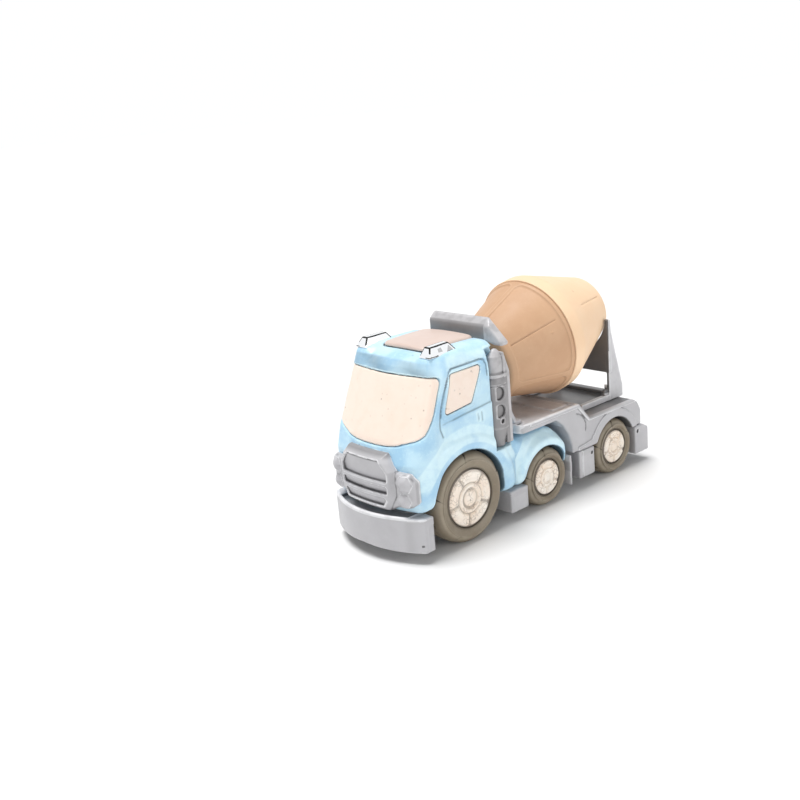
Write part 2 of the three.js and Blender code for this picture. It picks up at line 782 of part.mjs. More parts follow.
function drumRearShell() {
  const { seam, widest, widestRadius: r, length, mouthRadius: m, wall } = DRUM;
  const start = seam + GAP;
  return turned(
    [
      [r - 0.4, start],
      [r, start + 1],
      [r, widest],
      [m, length - 1.2],
      [m - 1, length],
      [m - wall, length],
      [m - wall, length - 5],
      [r - wall, widest - 1],
      [r - wall, start],
      [r - 0.4, start],
    ],
    DRUM_SEGMENTS,
  );
}

function drumFrontPin() {
  return turned(
    [
      [0, -9.5],
      [2.6, -9.5],
      [3, -9],
      [3, DRUM.wall + GAP],
      [8, DRUM.wall + GAP],
      [8, DRUM.wall + 3],
      [0, DRUM.wall + 3],
    ],
    20,
  );
}

function drumRearCap() {
  const r = DRUM.mouthRadius - DRUM.wall - GAP;
  const end = DRUM.length;
  return turned(
    [
      [0, end - 4.4],
      [r, end - 4.4],
      [r, end - 1],
      [r - 2.4, end - 1],
      [r - 3.4, end - 2.6],
      [7, end - 2.6],
      [6, end - 1],
      [0, end - 0.8],
    ],
    28,
  );
}

// ---------------------------------------------------------------- assembly

const truck = new THREE.Group();

function add(name, body, finish, parent = truck) {
  const mesh = new THREE.Mesh(geometryOf(body), new THREE.MeshStandardMaterial(finish));
  mesh.name = name;
  parent.add(mesh);
  return mesh;
}

add("cab_shell", cabShell(), BLUE);
add("windshield", windshield(), CREAM);
add("roof_panel", roofPanel(), CREAM);
add("grille", grille(), GREY);
add("bumper", bumper(), GREY);
add("tractor_chassis", tractorChassis(), GREY);
add("roof_bar", roofBar(), SMOKE);
add("kingpin", kingpin(), SMOKE);
add("kingpin_cap", kingpinCap(), SMOKE);
for (const [word, side] of [["left", 1], ["right", -1]]) {
  add(`side_window_${word}`, sideWindow(side), CREAM);
  add(`roof_light_${word}`, roofLight(side), CHROME);
  add(`exhaust_stack_${word}`, exhaustStack(side), SMOKE);
}
["front", "middle", "rear"].forEach((word, i) => {
  add(`tractor_screw_${word}`, screw(0, SCREW_POSTS[i], CHASSIS_PLATE[0] - 2 - GAP, 12), STEEL);
});

const WHEELS = [["front", FRONT_WHEEL], ["middle", MIDDLE_WHEEL], ["rear", REAR_WHEEL]];
for (const [word, wheel] of WHEELS) {
  const group = new THREE.Group();
  group.position.set(0, wheel.y, wheel.radius);
  add(`${word}_axle`, axle(wheel), STEEL, group);
  for (const [hand, side] of [["left", 1], ["right", -1]]) {
    const wheelGroup = new THREE.Group();
    wheelGroup.position.set(side * wheelSeat(wheel), 0, 0);
    wheelGroup.rotation.set(0, 0, (-side * Math.PI) / 2);
    add(`${word}_tyre_${hand}`, tyre(wheel), TYRE, wheelGroup);
    add(`${word}_hub_${hand}`, hub(wheel), CREAM, wheelGroup);
    group.add(wheelGroup);
  }
  truck.add(group);
}

add("trailer_bed", trailerBed(), GREY);
add("trailer_chassis", trailerChassis(), GREY);
add("rear_stand", rearStand(), GREY);
add("drum_front_support", drumFrontSupport(), GREY);
["front", "rear"].forEach((word, i) => {
  add(`trailer_screw_${word}`, screw(0, TRAILER_SCREWS[i], 18.2, 12), STEEL);
});

const drum = new THREE.Group();
drum.position.set(0, DRUM.y, DRUM.z);
drum.rotation.set(DRUM.tilt, 0, 0);
add("drum_front_shell", drumFrontShell(), TAN, drum);
add("drum_rear_shell", drumRearShell(), SAND, drum);
add("drum_front_pin", drumFrontPin(), STEEL, drum);
add("drum_rear_cap", drumRearCap(), SAND, drum);
truck.add(drum);

export default truck;
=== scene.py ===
"""Toy cement mixer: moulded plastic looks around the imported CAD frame.

Shapes are written as signed distance functions in millimetres (negative inside), turned into
meshes with a surface net, and placed straight in the row frame: +Z up, the truck faces -Y.
"""

import math

import bpy
import numpy as np
from mathutils import Matrix, Vector


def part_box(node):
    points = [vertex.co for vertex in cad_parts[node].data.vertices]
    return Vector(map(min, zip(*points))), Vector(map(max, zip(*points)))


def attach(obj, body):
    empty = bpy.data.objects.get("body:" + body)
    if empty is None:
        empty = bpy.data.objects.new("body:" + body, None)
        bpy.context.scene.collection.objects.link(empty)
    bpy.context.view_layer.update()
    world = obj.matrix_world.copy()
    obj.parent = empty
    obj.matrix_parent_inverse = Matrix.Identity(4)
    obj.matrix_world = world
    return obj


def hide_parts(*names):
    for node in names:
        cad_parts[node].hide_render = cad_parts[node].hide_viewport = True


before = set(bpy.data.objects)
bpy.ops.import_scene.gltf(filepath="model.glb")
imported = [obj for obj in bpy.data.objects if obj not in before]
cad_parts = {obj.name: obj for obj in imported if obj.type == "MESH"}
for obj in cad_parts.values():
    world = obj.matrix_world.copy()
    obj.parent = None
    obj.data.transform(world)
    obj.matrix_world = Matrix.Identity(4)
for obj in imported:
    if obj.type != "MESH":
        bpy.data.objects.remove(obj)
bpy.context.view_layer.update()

MM = 0.001

# ---- distance functions


def smin(a, b, k):
    """Smooth union; k is about the radius of the fillet, in mm."""
    h = np.clip(0.5 + 0.5 * (b - a) / k, 0, 1)
    return b + (a - b) * h - k * h * (1 - h)


def smax(a, b, k):
    """Smooth intersection."""
    return -smin(-a, -b, k)


def ramp(v, low, high):
    """Smooth step from 0 at low to 1 at high."""
    t = np.clip((v - low) / (high - low), 0, 1)
    return t * t * (3 - 2 * t)


def fade(v, low, high):
    """Smooth step from 1 at low to 0 at high."""
    return 1 - ramp(v, low, high)


def band(v, low0, low1, high0, high1):
    """1 between a smooth step up and a smooth step down."""
    return ramp(v, low0, low1) * fade(v, high0, high1)


def slab(v, low, high):
    """Distance to the room between two parallel planes."""
    return np.maximum(low - v, v - high)


def circle(a, b, centre, radius):
    return np.hypot(a - centre[0], b - centre[1]) - radius


def block(x, y, z, low, high, r):
    """A box with rounded edges."""
    d = [np.abs(v - (l + h) / 2) - (h - l) / 2 + r for v, l, h in zip((x, y, z), low, high)]
    outside = np.sqrt(sum(np.maximum(v, 0) ** 2 for v in d))
    return outside + np.minimum(np.maximum(np.maximum(d[0], d[1]), d[2]), 0) - r


def inset(points, by):
    """A polygon moved inwards by a distance, counter-clockwise."""
    p = np.array(points, float)
    following = np.roll(p, -1, 0)
    if np.sum(p[:, 0] * following[:, 1] - p[:, 1] * following[:, 0]) < 0:
        p = p[::-1]
    along = np.roll(p, -1, 0) - p
    along /= np.linalg.norm(along, axis=1)[:, None]
    n = np.stack([-along[:, 1], along[:, 0]], 1)
    before = np.roll(n, 1, 0)
    return p + by * (before + n) / (1 + np.sum(before * n, 1))[:, None]


def segment_square(a, b, start, end):
    """Squared distance to a segment."""
    ea, eb = end[0] - start[0], end[1] - start[1]
    t = np.clip(((a - start[0]) * ea + (b - start[1]) * eb) / (ea * ea + eb * eb), 0, 1)
    return (a - start[0] - t * ea) ** 2 + (b - start[1] - t * eb) ** 2


def polygon(a, b, points, r=0.0):
    """Distance to a polygon whose convex corners are rounded by r."""
    best, inside = np.inf, False
    corners = inset(points, r)
    for start, end in zip(np.roll(corners, 1, 0), corners):
        best = np.minimum(best, segment_square(a, b, start, end))
        slope = (end[0] - start[0]) / ((end[1] - start[1]) or 1e-9)
        inside = inside ^ (((start[1] <= b) != (end[1] <= b)) & (a < start[0] + (b - start[1]) * slope))
    return np.where(inside, -1.0, 1.0) * np.sqrt(best) - r


def stroke(a, b, points):
    """Distance to an open line through the points."""
    best = np.inf
    for start, end in zip(points, points[1:]):
        best = np.minimum(best, segment_square(a, b, start, end))
    return np.sqrt(best)


def both(half):
    """A symmetric outline from its points at positive x, from top to bottom."""
    return list(half) + [(-a, b) for a, b in reversed(half)]


# ---- meshes


def make_object(name, verts, faces, hollow, sharp):
    """A smooth mesh object, with how hollow and how sharp each point is as attributes for painted shade and
    painted edges.
    """
    mesh = bpy.data.meshes.new(name)
    mesh.vertices.add(len(verts))
    mesh.vertices.foreach_set("co", (np.asarray(verts, np.float32) * MM).ravel())
    faces = np.asarray(faces, np.int32)
    mesh.loops.add(faces.size)
    mesh.loops.foreach_set("vertex_index", faces.ravel())
    mesh.polygons.add(len(faces))
    mesh.polygons.foreach_set("loop_start", np.arange(0, faces.size, faces.shape[1], dtype=np.int32))
    mesh.update(calc_edges=True)
    mesh.validate()
    mesh.shade_smooth()
    for word, values in (("hollow", hollow), ("sharp", sharp)):
        attribute = mesh.attributes.new(word, "FLOAT", "POINT")
        values = np.clip(np.broadcast_to(values, len(verts)), 0, 1).astype(np.float32)
        attribute.data.foreach_set("value", values)
    obj = bpy.data.objects.new(name, mesh)
    bpy.context.scene.collection.objects.link(obj)
    return obj


def gradient(shape, p, h=0.06):
    """Central differences of a distance function at the points."""
    g = np.empty_like(p)
    for i in range(3):
        q0, q1 = p.copy(), p.copy()
        q0[:, i] -= h
        q1[:, i] += h
        g[:, i] = (shape(*q1.T) - shape(*q0.T)) / (2 * h)
    return g


def neighbours(v, axis):
    """A grid's values and those one step further along an axis."""
    lo, hi = [slice(None)] * 3, [slice(None)] * 3
    lo[axis], hi[axis] = slice(None, -1), slice(1, None)
    return v[tuple(lo)], v[tuple(hi)]


def surface_net(shape, low, high, step):
    """Vertices and quads of the surface shape = 0 inside a box, on a grid symmetric in x."""
    axes = []
    for i, (l, h) in enumerate(zip(low, high)):
        if i == 0 and abs(l + h) < 0.01:
            n = int(math.ceil(h / step)) + 2
            axes.append((np.arange(-n, n) + 0.5) * step)
        else:
            axes.append(np.arange(l - 2.3 * step, h + 3 * step, step))
    x, y, z = (a.reshape([-1 if i == j else 1 for j in range(3)]) for i, a in enumerate(axes))
    v = np.broadcast_to(shape(x, y, z), [len(a) for a in axes]).astype(np.float32)
    inside = v < 0
    cells = tuple(n - 1 for n in v.shape)
    total = np.zeros(cells + (3,), np.float32)
    count = np.zeros(cells, np.int16)
    quads = []
    for axis in range(3):
        a, b = neighbours(v, axis)
        cross = np.not_equal(*neighbours(inside, axis))
        t = np.where(cross, a / np.where(cross, a - b, 1), 0)
        others = [i for i in range(3) if i != axis]
        for du in (0, 1):
            for dv in (0, 1):
                source = [slice(None)] * 3
                source[others[0]] = slice(du, du + cells[others[0]])
                source[others[1]] = slice(dv, dv + cells[others[1]])
                c = cross[tuple(source)]
                count += c
                total[..., axis] += np.where(c, t[tuple(source)], 0)
                total[..., others[0]] += c * du
                total[..., others[1]] += c * dv
    active = count > 0
    index = np.full(cells, -1, np.int64)
    index[active] = np.arange(active.sum())
    at = np.argwhere(active) + total[active] / count[active][:, None]
    verts = np.array([a[0] for a in axes]) + at * step
    for axis in range(3):
        first, second = neighbours(inside, axis)
        u, w = [(1, 2), (2, 0), (0, 1)][axis]
        core = [slice(None)] * 3
        core[u], core[w] = slice(1, -1), slice(1, -1)
        cross = (first != second)[tuple(core)]
        flip = second[tuple(core)][cross]
        at = np.argwhere(cross)
        at[:, u] += 1
        at[:, w] += 1
        corners = []
        for du, dw in ((-1, -1), (0, -1), (0, 0), (-1, 0)):
            c = at.copy()
            c[:, u] += du
            c[:, w] += dw
            corners.append(index[c[:, 0], c[:, 1], c[:, 2]])
        q = np.stack(corners, 1)
        q[flip] = q[flip][:, ::-1]
        quads.append(q)
    return verts, np.concatenate(quads)


def moulding(name, shape, box, step, paint=None):
    """A mesh object of a shape; paint gives what to add to hollow (painted shade) and sharp (painted
    highlight) at each point.
    """
    verts, quads = surface_net(shape, box[0], box[1], step)
    for _ in range(3):  # steps onto the exact surface
        f = shape(*verts.T)
        g = gradient(shape, verts)
        size = np.maximum(np.sum(g * g, 1), 0.05)
        move = (f / size)[:, None] * g
        length = np.linalg.norm(move, axis=1)[:, None]
        verts = verts - move * np.minimum(1, 0.45 * step / np.maximum(length, 1e-9))
    g = gradient(shape, verts)
    size = np.maximum(np.linalg.norm(g, axis=1), 0.3)
    n = g / size[:, None]
    # hollow: how enclosed each point is, the measure for painted shade in creases and recesses
    hollow = np.zeros(len(verts))
    for reach in (0.7, 1.5, 3.0):
        hollow += (1 - shape(*(verts + n * reach).T) / size / reach) / 3
    # sharp: how convex each point is, the measure for painted edges, paler on plastic and darker on metal
    sharp = np.zeros(len(verts))
    for reach in (0.6, 1.2):
        sharp += (1 + shape(*(verts - n * reach).T) / size / reach) / 2
    if paint is not None:
        darker, paler = paint(*verts.T)
        hollow, sharp = hollow + darker, sharp + paler
    return make_object(name, verts, quads, hollow, sharp)


def node_box(node):
    """A CAD node's box in mm."""
    low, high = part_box(node)
    return [v / MM for v in low], [v / MM for v in high]


def turned(name, profile, segments, place, shift):
    """A body turned from (axial, radius) points about an axis.

    place is its origin and its axis, across and up directions. shift takes each point's axial place,
    radius and angle, and returns what to add to the first two, and how much painted shade (hollow) and
    painted highlight (sharp) the point gets.
    """
    p = np.array(profile, float)
    angle = np.arange(segments) * 2 * np.pi / segments
    s = np.repeat(p[:, 0], segments)
    r = np.repeat(p[:, 1], segments)
    t = np.tile(angle, len(p))
    ds, dr, hollow, sharp = shift(s, r, t)
    s, r = s + ds, r + dr
    axis, across, up = place[1]
    verts = (
        np.array(place[0])
        + s[:, None] * np.array(axis)
        + (r * np.cos(t))[:, None] * np.array(across)
        + (r * np.sin(t))[:, None] * np.array(up)
    )
    rows, columns = np.arange(len(p))[:, None], np.arange(segments)
    row, next_row = rows * segments, np.roll(rows, -1, 0) * segments
    next_column = np.roll(columns, -1)
    corners = [row + columns, row + next_column, next_row + next_column, next_row + columns]
    quads = np.stack(corners, -1).reshape(-1, 4)
    starts_on_axis = p[0, 1] == 0
    if starts_on_axis:
        quads = quads[:-segments]
    return make_object(name, verts, quads, hollow, sharp)


def refine(profile, step):
    """The same line with extra points, none further apart than step."""
    out = []
    for (a0, b0), (a1, b1) in zip(profile, profile[1:]):
        n = max(1, int(math.ceil(math.hypot(a1 - a0, b1 - b0) / step)))
        out += [(a0 + (a1 - a0) * i / n, b0 + (b1 - b0) * i / n) for i in range(n)]
    return out + [profile[-1]]


def rounded(points, r, steps=4):
    """An open profile with its inner corners rounded."""
    out = [points[0]]
    for before, at, after in zip(points, points[1:], points[2:]):
        b, a, c = (Vector(p) for p in (before, at, after))
        reach = min(r, 0.45 * (b - a).length, 0.45 * (c - a).length)
        p0 = a + (b - a).normalized() * reach
        p1 = a + (c - a).normalized() * reach
        for i in range(steps + 1):
            t = i / steps
            q = p0 * (1 - t) ** 2 + a * (2 * t * (1 - t)) + p1 * t**2
            out.append((q.x, q.y))
    return out + [points[-1]]


# ---- materials


class Tree:
    """The nodes of a material or a world, with short calls for adding to them."""

    def __init__(self, owner):
        owner.use_nodes = True
        self.nodes, self.links = owner.node_tree.nodes, owner.node_tree.links

    def join(self, value, socket):
        """Feed a socket from an output, a number or a colour."""
        if isinstance(value, bpy.types.NodeSocket):
            self.links.new(value, socket)
        else:
            socket.default_value = (*value, 1) if isinstance(value, tuple) else value

    def remap(self, value, a0, a1, b0, b1, curve="SMOOTHSTEP"):
        """a0 to a1 becomes b0 to b1."""
        node = self.nodes.new("ShaderNodeMapRange")
        node.interpolation_type = curve
        for key, v in zip(("Value", "From Min", "From Max", "To Min", "To Max"), (value, a0, a1, b0, b1)):
            self.join(v, node.inputs[key])
        return node.outputs["Result"]

    def maths(self, operation, a, b):
        node = self.nodes.new("ShaderNodeMath")
        node.operation = operation
        self.join(a, node.inputs[0])
        self.join(b, node.inputs[1])
        return node.outputs["Value"]

    def mix(self, factor, a, b):
        """Colour a where the factor is 0, colour b where it is 1."""
        node = self.nodes.new("ShaderNodeMix")
        node.data_type = "RGBA"
        for socket, v in zip((node.inputs["Factor"], node.inputs[6], node.inputs[7]), (factor, a, b)):
            self.join(v, socket)
        return node.outputs[2]


class Shade(Tree):
    """A material with its principled shader."""

    def __init__(self, name, slot=None):
        self.material = bpy.data.materials.new(name)
        super().__init__(self.material)
        self.shader = self.nodes["Principled BSDF"]

    def texture(self, kind, **values):
        node = self.nodes.new(kind)
        self.join(self.nodes.new("ShaderNodeTexCoord").outputs["Object"], node.inputs["Vector"])
        for key, v in values.items():
            node.inputs[key].default_value = v
        return node

    def noise(self, scale, detail=3.0, roughness=0.5):
        node = self.texture("ShaderNodeTexNoise", Scale=scale, Detail=detail, Roughness=roughness)
        return node.outputs["Fac"]

    def attribute(self, word):
        node = self.nodes.new("ShaderNodeAttribute")
        node.attribute_name = word
        return node.outputs["Fac"]

    def bump(self, height, strength, distance):
        node = self.nodes.new("ShaderNodeBump")
        node.inputs["Strength"].default_value = strength
        node.inputs["Distance"].default_value = distance
        self.join(height, node.inputs["Height"])
        self.join(node.outputs["Normal"], self.shader.inputs["Normal"])


def fleck_mask(shade, scale, share):
    """Small round flecks: a share of the cells holds one, stronger where the flecks crowd."""
    spots = shade.texture("ShaderNodeTexVoronoi", Scale=scale)
    chance = shade.nodes.new("ShaderNodeSeparateColor")
    shade.join(spots.outputs["Color"], chance.inputs["Color"])
    near = shade.remap(spots.outputs["Distance"], 0.1, 0.24, 1.0, 0.0)
    rare = shade.remap(chance.outputs["Red"], 1 - share, 1.02 - share, 0.0, 1.0)
    strength = shade.remap(chance.outputs["Green"], 0.0, 1.0, 0.25, 0.9)
    crowd = shade.maths("MULTIPLY", strength, shade.remap(shade.noise(26.0, 1.0), 0.42, 0.58, 0.25, 1.0))
    return shade.maths("MULTIPLY", shade.maths("MULTIPLY", near, rare), crowd)


def crack_mask(shade, depth):
    """Thin broken lines between small cells."""
    cells = shade.texture("ShaderNodeTexVoronoi", Scale=330.0)
    cells.feature = "DISTANCE_TO_EDGE"
    thin = shade.remap(cells.outputs["Distance"], 0.02, 0.09, depth, 0.0)
    return shade.maths("MULTIPLY", thin, shade.remap(shade.noise(130.0), 0.42, 0.6, 0.0, 1.0))


def plastic(
    name, colours, flecks, rough, mottle, fleck_scale=150.0, coat=0.15, cracks=0.0, specular=0.5, slot=None
):
    """Satin plastic with dark flecks and cracks, painted shade in hollows and painted highlights on edges.

    colours are the plastic's own, its paler tone for mottling and painted highlights, and its flecks,
    as screen colours.
    """
    colour, light, dark = (srgb(*c) for c in colours)
    shade = Shade(name, slot)
    noise, remap, maths, mix = shade.noise, shade.remap, shade.maths, shade.mix
    tone = mix(remap(noise(48.0, 5.0, 0.55), 0.36, 0.66, 0.0, mottle), colour, light)
    tone = mix(remap(noise(420.0, 3.0, 0.6), 0.52, 0.74, 0.0, mottle * 0.5), tone, light)
    fleck = fleck_mask(shade, fleck_scale, flecks * 0.3)
    tone = mix(fleck, tone, dark)
    if cracks:
        tone = mix(crack_mask(shade, cracks), tone, dark)
    # Painted shade: the hollow attribute darkens towards seam, a shade colour made from the dark one.
    seam = tuple(c * 0.32 for c in dark)
    tone = mix(remap(shade.attribute("hollow"), 0.12, 0.75, 0.0, 0.8), tone, seam)
    # Painted highlight: sharp edges are paled towards the light colour, broken up by noise.
    edge = remap(shade.attribute("sharp"), 0.1, 0.45, 0.0, 0.75)
    tone = mix(maths("MULTIPLY", edge, remap(noise(160.0), 0.3, 0.6, 0.55, 1.0)), tone, light)
    shade.join(tone, shade.shader.inputs["Base Color"])
    worn = remap(noise(90.0, 5.0, 0.6), 0.3, 0.7, rough - 0.05, rough + 0.08)
    shade.join(maths("ADD", worn, maths("MULTIPLY", fleck, 0.2)), shade.shader.inputs["Roughness"])
    height = maths("ADD", maths("MULTIPLY", noise(800.0, 2.0), 0.5), maths("MULTIPLY", fleck, -0.8))
    shade.bump(maths("ADD", height, noise(120.0, 2.0)), 0.12, 0.0004)
    shade.shader.inputs["Coat Weight"].default_value = coat
    shade.shader.inputs["Coat Roughness"].default_value = 0.18
    shade.shader.inputs["Specular IOR Level"].default_value = specular
    return shade.material


def metal(name, colour, rough, edge_colour):
    """Bright metal or plating whose sharp edges are painted darker, as dark reflections."""
    shade = Shade(name)
    shade.shader.inputs["Metallic"].default_value = 1.0
    grain = shade.noise(300.0, 4.0)
    worn = shade.remap(grain, 0.0, 1.0, rough * 0.7, rough * 1.4, "LINEAR")
    shade.join(worn, shade.shader.inputs["Roughness"])
    edge = shade.remap(shade.attribute("sharp"), 0.1, 0.3, 0.0, 1.0)
    shade.join(shade.mix(edge, colour, edge_colour), shade.shader.inputs["Base Color"])
    shade.bump(grain, 0.05, 0.0003)
    return shade.material


def srgb(r, g, b):
    """A screen colour as linear light."""
    return tuple(((c / 255 + 0.055) / 1.055) ** 2.4 if c > 10 else c / 255 / 12.92 for c in (r, g, b))


BLUE = plastic("blue_plastic", [(166, 209, 236), (223, 249, 255), (66, 94, 120)], 0.22, 0.34, 0.5, 190.0)
CREAM = plastic("cream_plastic", [(243, 221, 204), (250, 234, 221), (96, 74, 54)], 1.3, 0.38, 0.3, 250.0)
# The hatch is a darker, pinker cream: the pink is its own, the darkening is painted shade for its top face,
# which takes more light.
HATCH_COLOURS = (210, 188, 177), (220, 201, 190), (110, 88, 66)
HATCH = plastic("hatch_plastic", HATCH_COLOURS, 0.2, 0.42, 0.3, 220.0, slot="cream_plastic")
HUB_COLOURS = (248, 231, 213), (255, 248, 238), (106, 82, 60)
HUB = plastic("hub_plastic", HUB_COLOURS, 0.5, 0.42, 0.8, 240.0, cracks=0.42, slot="cream_plastic")
GREY = plastic("grey_plastic", [(183, 182, 185), (238, 238, 240), (74, 73, 76)], 0.04, 0.34, 0.1, 200.0)
SMOKE = plastic("smoke_plastic", [(135, 133, 134), (206, 204, 206), (52, 50, 50)], 0.05, 0.34, 0.1)
TAN_COLOURS = (202, 162, 129), (226, 191, 157), (112, 78, 54)
TAN = plastic("tan_plastic", TAN_COLOURS, 0.06, 0.46, 0.2, coat=0.0, specular=0.2)
SAND_COLOURS = (246, 211, 175), (250, 225, 194), (140, 106, 76)
SAND = plastic("sand_plastic", SAND_COLOURS, 0.06, 0.46, 0.2, coat=0.0, specular=0.25)
RUBBER_COLOURS = (130, 118, 100), (168, 157, 138), (62, 52, 40)
RUBBER = plastic("tyre_rubber", RUBBER_COLOURS, 0.1, 0.46, 0.3, coat=0.0, slot="tyre")
CHROME = metal("lamp_chrome", (0.93, 0.94, 0.95), 0.1, (0.02, 0.02, 0.02))
STEEL = metal("drawn_steel", (0.62, 0.62, 0.63), 0.3, (0.4, 0.4, 0.4))


def recolour(obj, material):
    obj.data.materials.clear()
    obj.data.materials.append(material)


def finish(obj, material, body, *nodes):
    """Give a piece its material and body, and say which CAD nodes it replaces."""
    recolour(obj, material)
    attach(obj, body)
    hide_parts(*nodes)


# ---- dimensions shared with the CAD, mm

FRONT_RADIUS, SMALL_RADIUS = 32.0, 22.0
FRONT_WHEEL = (-70.0, FRONT_RADIUS)
MIDDLE_WHEEL = (8.3, SMALL_RADIUS)
REAR_WHEEL = (87.7, SMALL_RADIUS)
ARCH_CLEARANCE = 1.6
AXLE_HOLE = 2.4
SCREW_HOLE = 1.8
HALF = 46.0
SKIN = 45.7  # half the width over the grey mouldings and the wheels' faces
NOSE_Y = -119.5
WELL_INNER, WELL_INNER_SMALL = 25.0, 28.0
CAB_REAR_Y = -24.0

WINDSHIELD = both(
    [(48, 120.1), (48, 84), (40.4, 82.2), (36.5, 80.6), (31, 79), (24, 77.6), (15, 76.6), (7, 76.3)]
)
PILLAR = [
    (-160, 140), (-80.6, 140), (-87.6, 118.6), (-88.4, 115.5), (-90.8, 110), (-93.3, 104), (-95.9, 98),
    (-98.2, 94), (-100.7, 90), (-104.0, 85.4), (-107.4, 82.0), (-111, 79), (-111, 60), (-160, 60),
]
SIDE_WINDOW = [(-87, 94.6), (-62, 97.2), (-50.5, 120.6), (-78.5, 120.2)]
ROOF_PANEL = [(22, -80), (25, -35), (-25, -35), (-22, -80)]

# ---- cab


def bow(x, y, radius=130.0, corner=3.0, start=-60.0, end=-95.0):
    """How far the cab's front falls back from its middle; the bow grows from start to end."""
    share = np.clip((start - y) / (start - end), 0, 1)
    edge = np.maximum(0, (x - 0.84 * HALF) / (0.16 * HALF))
    return share * (x**2 / (2 * radius) + corner * edge**2)


CAB_SIDE = [
    (NOSE_Y, 34), (NOSE_Y, 66), (-115.5, 80), (-98, 121), (-95.6, 125), (-91.5, 128.6), (-86, 131.3),
    (-79, 133), (-70, 133.8), (-58, 134), (-40, 134), (-34.5, 132.6), (-31.4, 128), (-22.7, 102), (-22.7, 34),
]
DECK_SIDE = [(-40, 24), (-40, 57), (8, 57), (14, 58), (21, 55.5), (27.5, 50), (31.5, 43), (33, 35), (33, 24)]


def cab_width(y, z):
    """Half the width of the blue moulding: doors, belt, fenders and roof."""
    belt = 90.4 + (y + 80.6) * 0.096 - z
    width = 42.9 + 1.3 * ramp(belt, -0.5, 1.7) * fade(-y, 79, 84)
    width = width + 0.9 * fade(polygon(y, z, SIDE_WINDOW), 2.2, 3.6)
    reach = circle(y, z, FRONT_WHEEL, 0)
    edge = reach - 47.4 - 0.14 * np.maximum(-75 - y, 0)
    fender = 45.85 - 3.35 * ramp(edge, -6.0, 0.4) - 1.1 * fade(reach, 33.6, 38.5)
    nose = 45.85 - 2.65 * ramp(y, -100.5, -88)
    width = smax(smax(width, fender, 0.5), nose, 0.9)
    reach = circle(y, z, MIDDLE_WHEEL, 0)
    deck = 45.85 - 3.25 * ramp(reach - 33.0, -5.0, 0.4) - 0.9 * fade(reach, 23.6, 27.5)
    beside_cab = np.maximum(width, np.minimum(deck, HALF))
    width = np.where(y > CAB_REAR_Y, np.maximum(deck, 42.6), beside_cab)
    return width - 0.012 * np.maximum(z - 112, 0) ** 2


def cab_body(x, y, z):
    """The cab before anything is let into it."""
    a = np.abs(x)
    yb = y - bow(a, y)
    cab = polygon(yb, z, CAB_SIDE, 2.5)
    deck = polygon(y, z, DECK_SIDE, 3.5)
    return smax(smin(cab, deck, 3.0), a - cab_width(y, z), 9.0)


def glass_outline(x, y, z):
    """Less than zero inside the windshield's edge: its front view cut off at the pillars."""
    return smax(polygon(x, z, WINDSHIELD, 1.0), polygon(y, z, PILLAR, 1.0), 4.0)


def sunk(outline, depth, body):
    """What a tool of this outline takes from a body, down to a depth under its skin."""
    return np.maximum(outline, -(body + depth))


def wheel_well(x, y, z, wheel, inner):
    """The room around a wheel, from its inner side outwards; its centre stands at its radius."""
    return smax(circle(y, z, wheel, wheel[1] + ARCH_CLEARANCE), inner - np.abs(x), 2.0)


DOOR_LINE = [
    (-45.3, 112), (-45.4, 119), (-46.6, 122.6), (-50, 123.6), (-63.5, 123.3), (-76.6, 123.2), (-79.6, 121.6),
    (-82.1, 116.8), (-86.4, 108), (-90.3, 97.9), (-92, 90), (-92, 86.6), (-89.5, 80.6),
]
BELT_LINE = [-92.0, -87.8, -82.5, -70.0, -56.3, -44.5], [88.3, 88.8, 89.3, 90.8, 91.7, 92.8]


def handle_lines(y, z):
    """Distance to the two short lines of the door's handle."""
    return np.minimum(stroke(y, z, [(-57, 88), (-56.6, 84)]), stroke(y, z, [(-53.6, 88.4), (-53.2, 82.6)]))


def cab_shape(x, y, z):
    a = np.abs(x)
    body = cab_body(x, y, z)
    pads = block(a, y, z, (24.4, -91.0, 120), (37.4, -62.0, 132.2), 3.5)
    f = smin(body, pads, 6.0)
    f = smax(f, -sunk(glass_outline(x, y, z) - 0.5, 1.9, body), 0.4)
    f = smax(f, -sunk(polygon(y, z, SIDE_WINDOW, 2.0) + np.maximum(38 - a, 0) - 0.5, 1.6, body), 0.4)
    f = smax(f, -sunk(polygon(x, y, ROOF_PANEL, 5.0) + np.maximum(125 - z, 0) - 0.4, 1.5, body), 0.4)
    f = smax(f, -sunk(stroke(y, z, DOOR_LINE) - 0.8, 0.35, body), 1.0)
    f = smax(f, -sunk(handle_lines(y, z) - 0.7, 0.35, body), 1.0)
    f = smax(f, -wheel_well(x, y, z, FRONT_WHEEL, WELL_INNER), 1.2)
    f = smax(f, -wheel_well(x, y, z, MIDDLE_WHEEL, WELL_INNER_SMALL), 1.2)
    stack_room = block(a, y, z, (33, -43.2, 57.4), (60, -24.7, 128.5), 1.0)
    chassis_room = block(a, y, z, (-26.9, -112, 0), (26.9, 30.2, 39), 2.0)
    f = smax(smax(f, -stack_room, 0.8), -chassis_room, 1.0)
    return np.maximum(f, np.where(y < -95, 34.0, 24.0) - z)


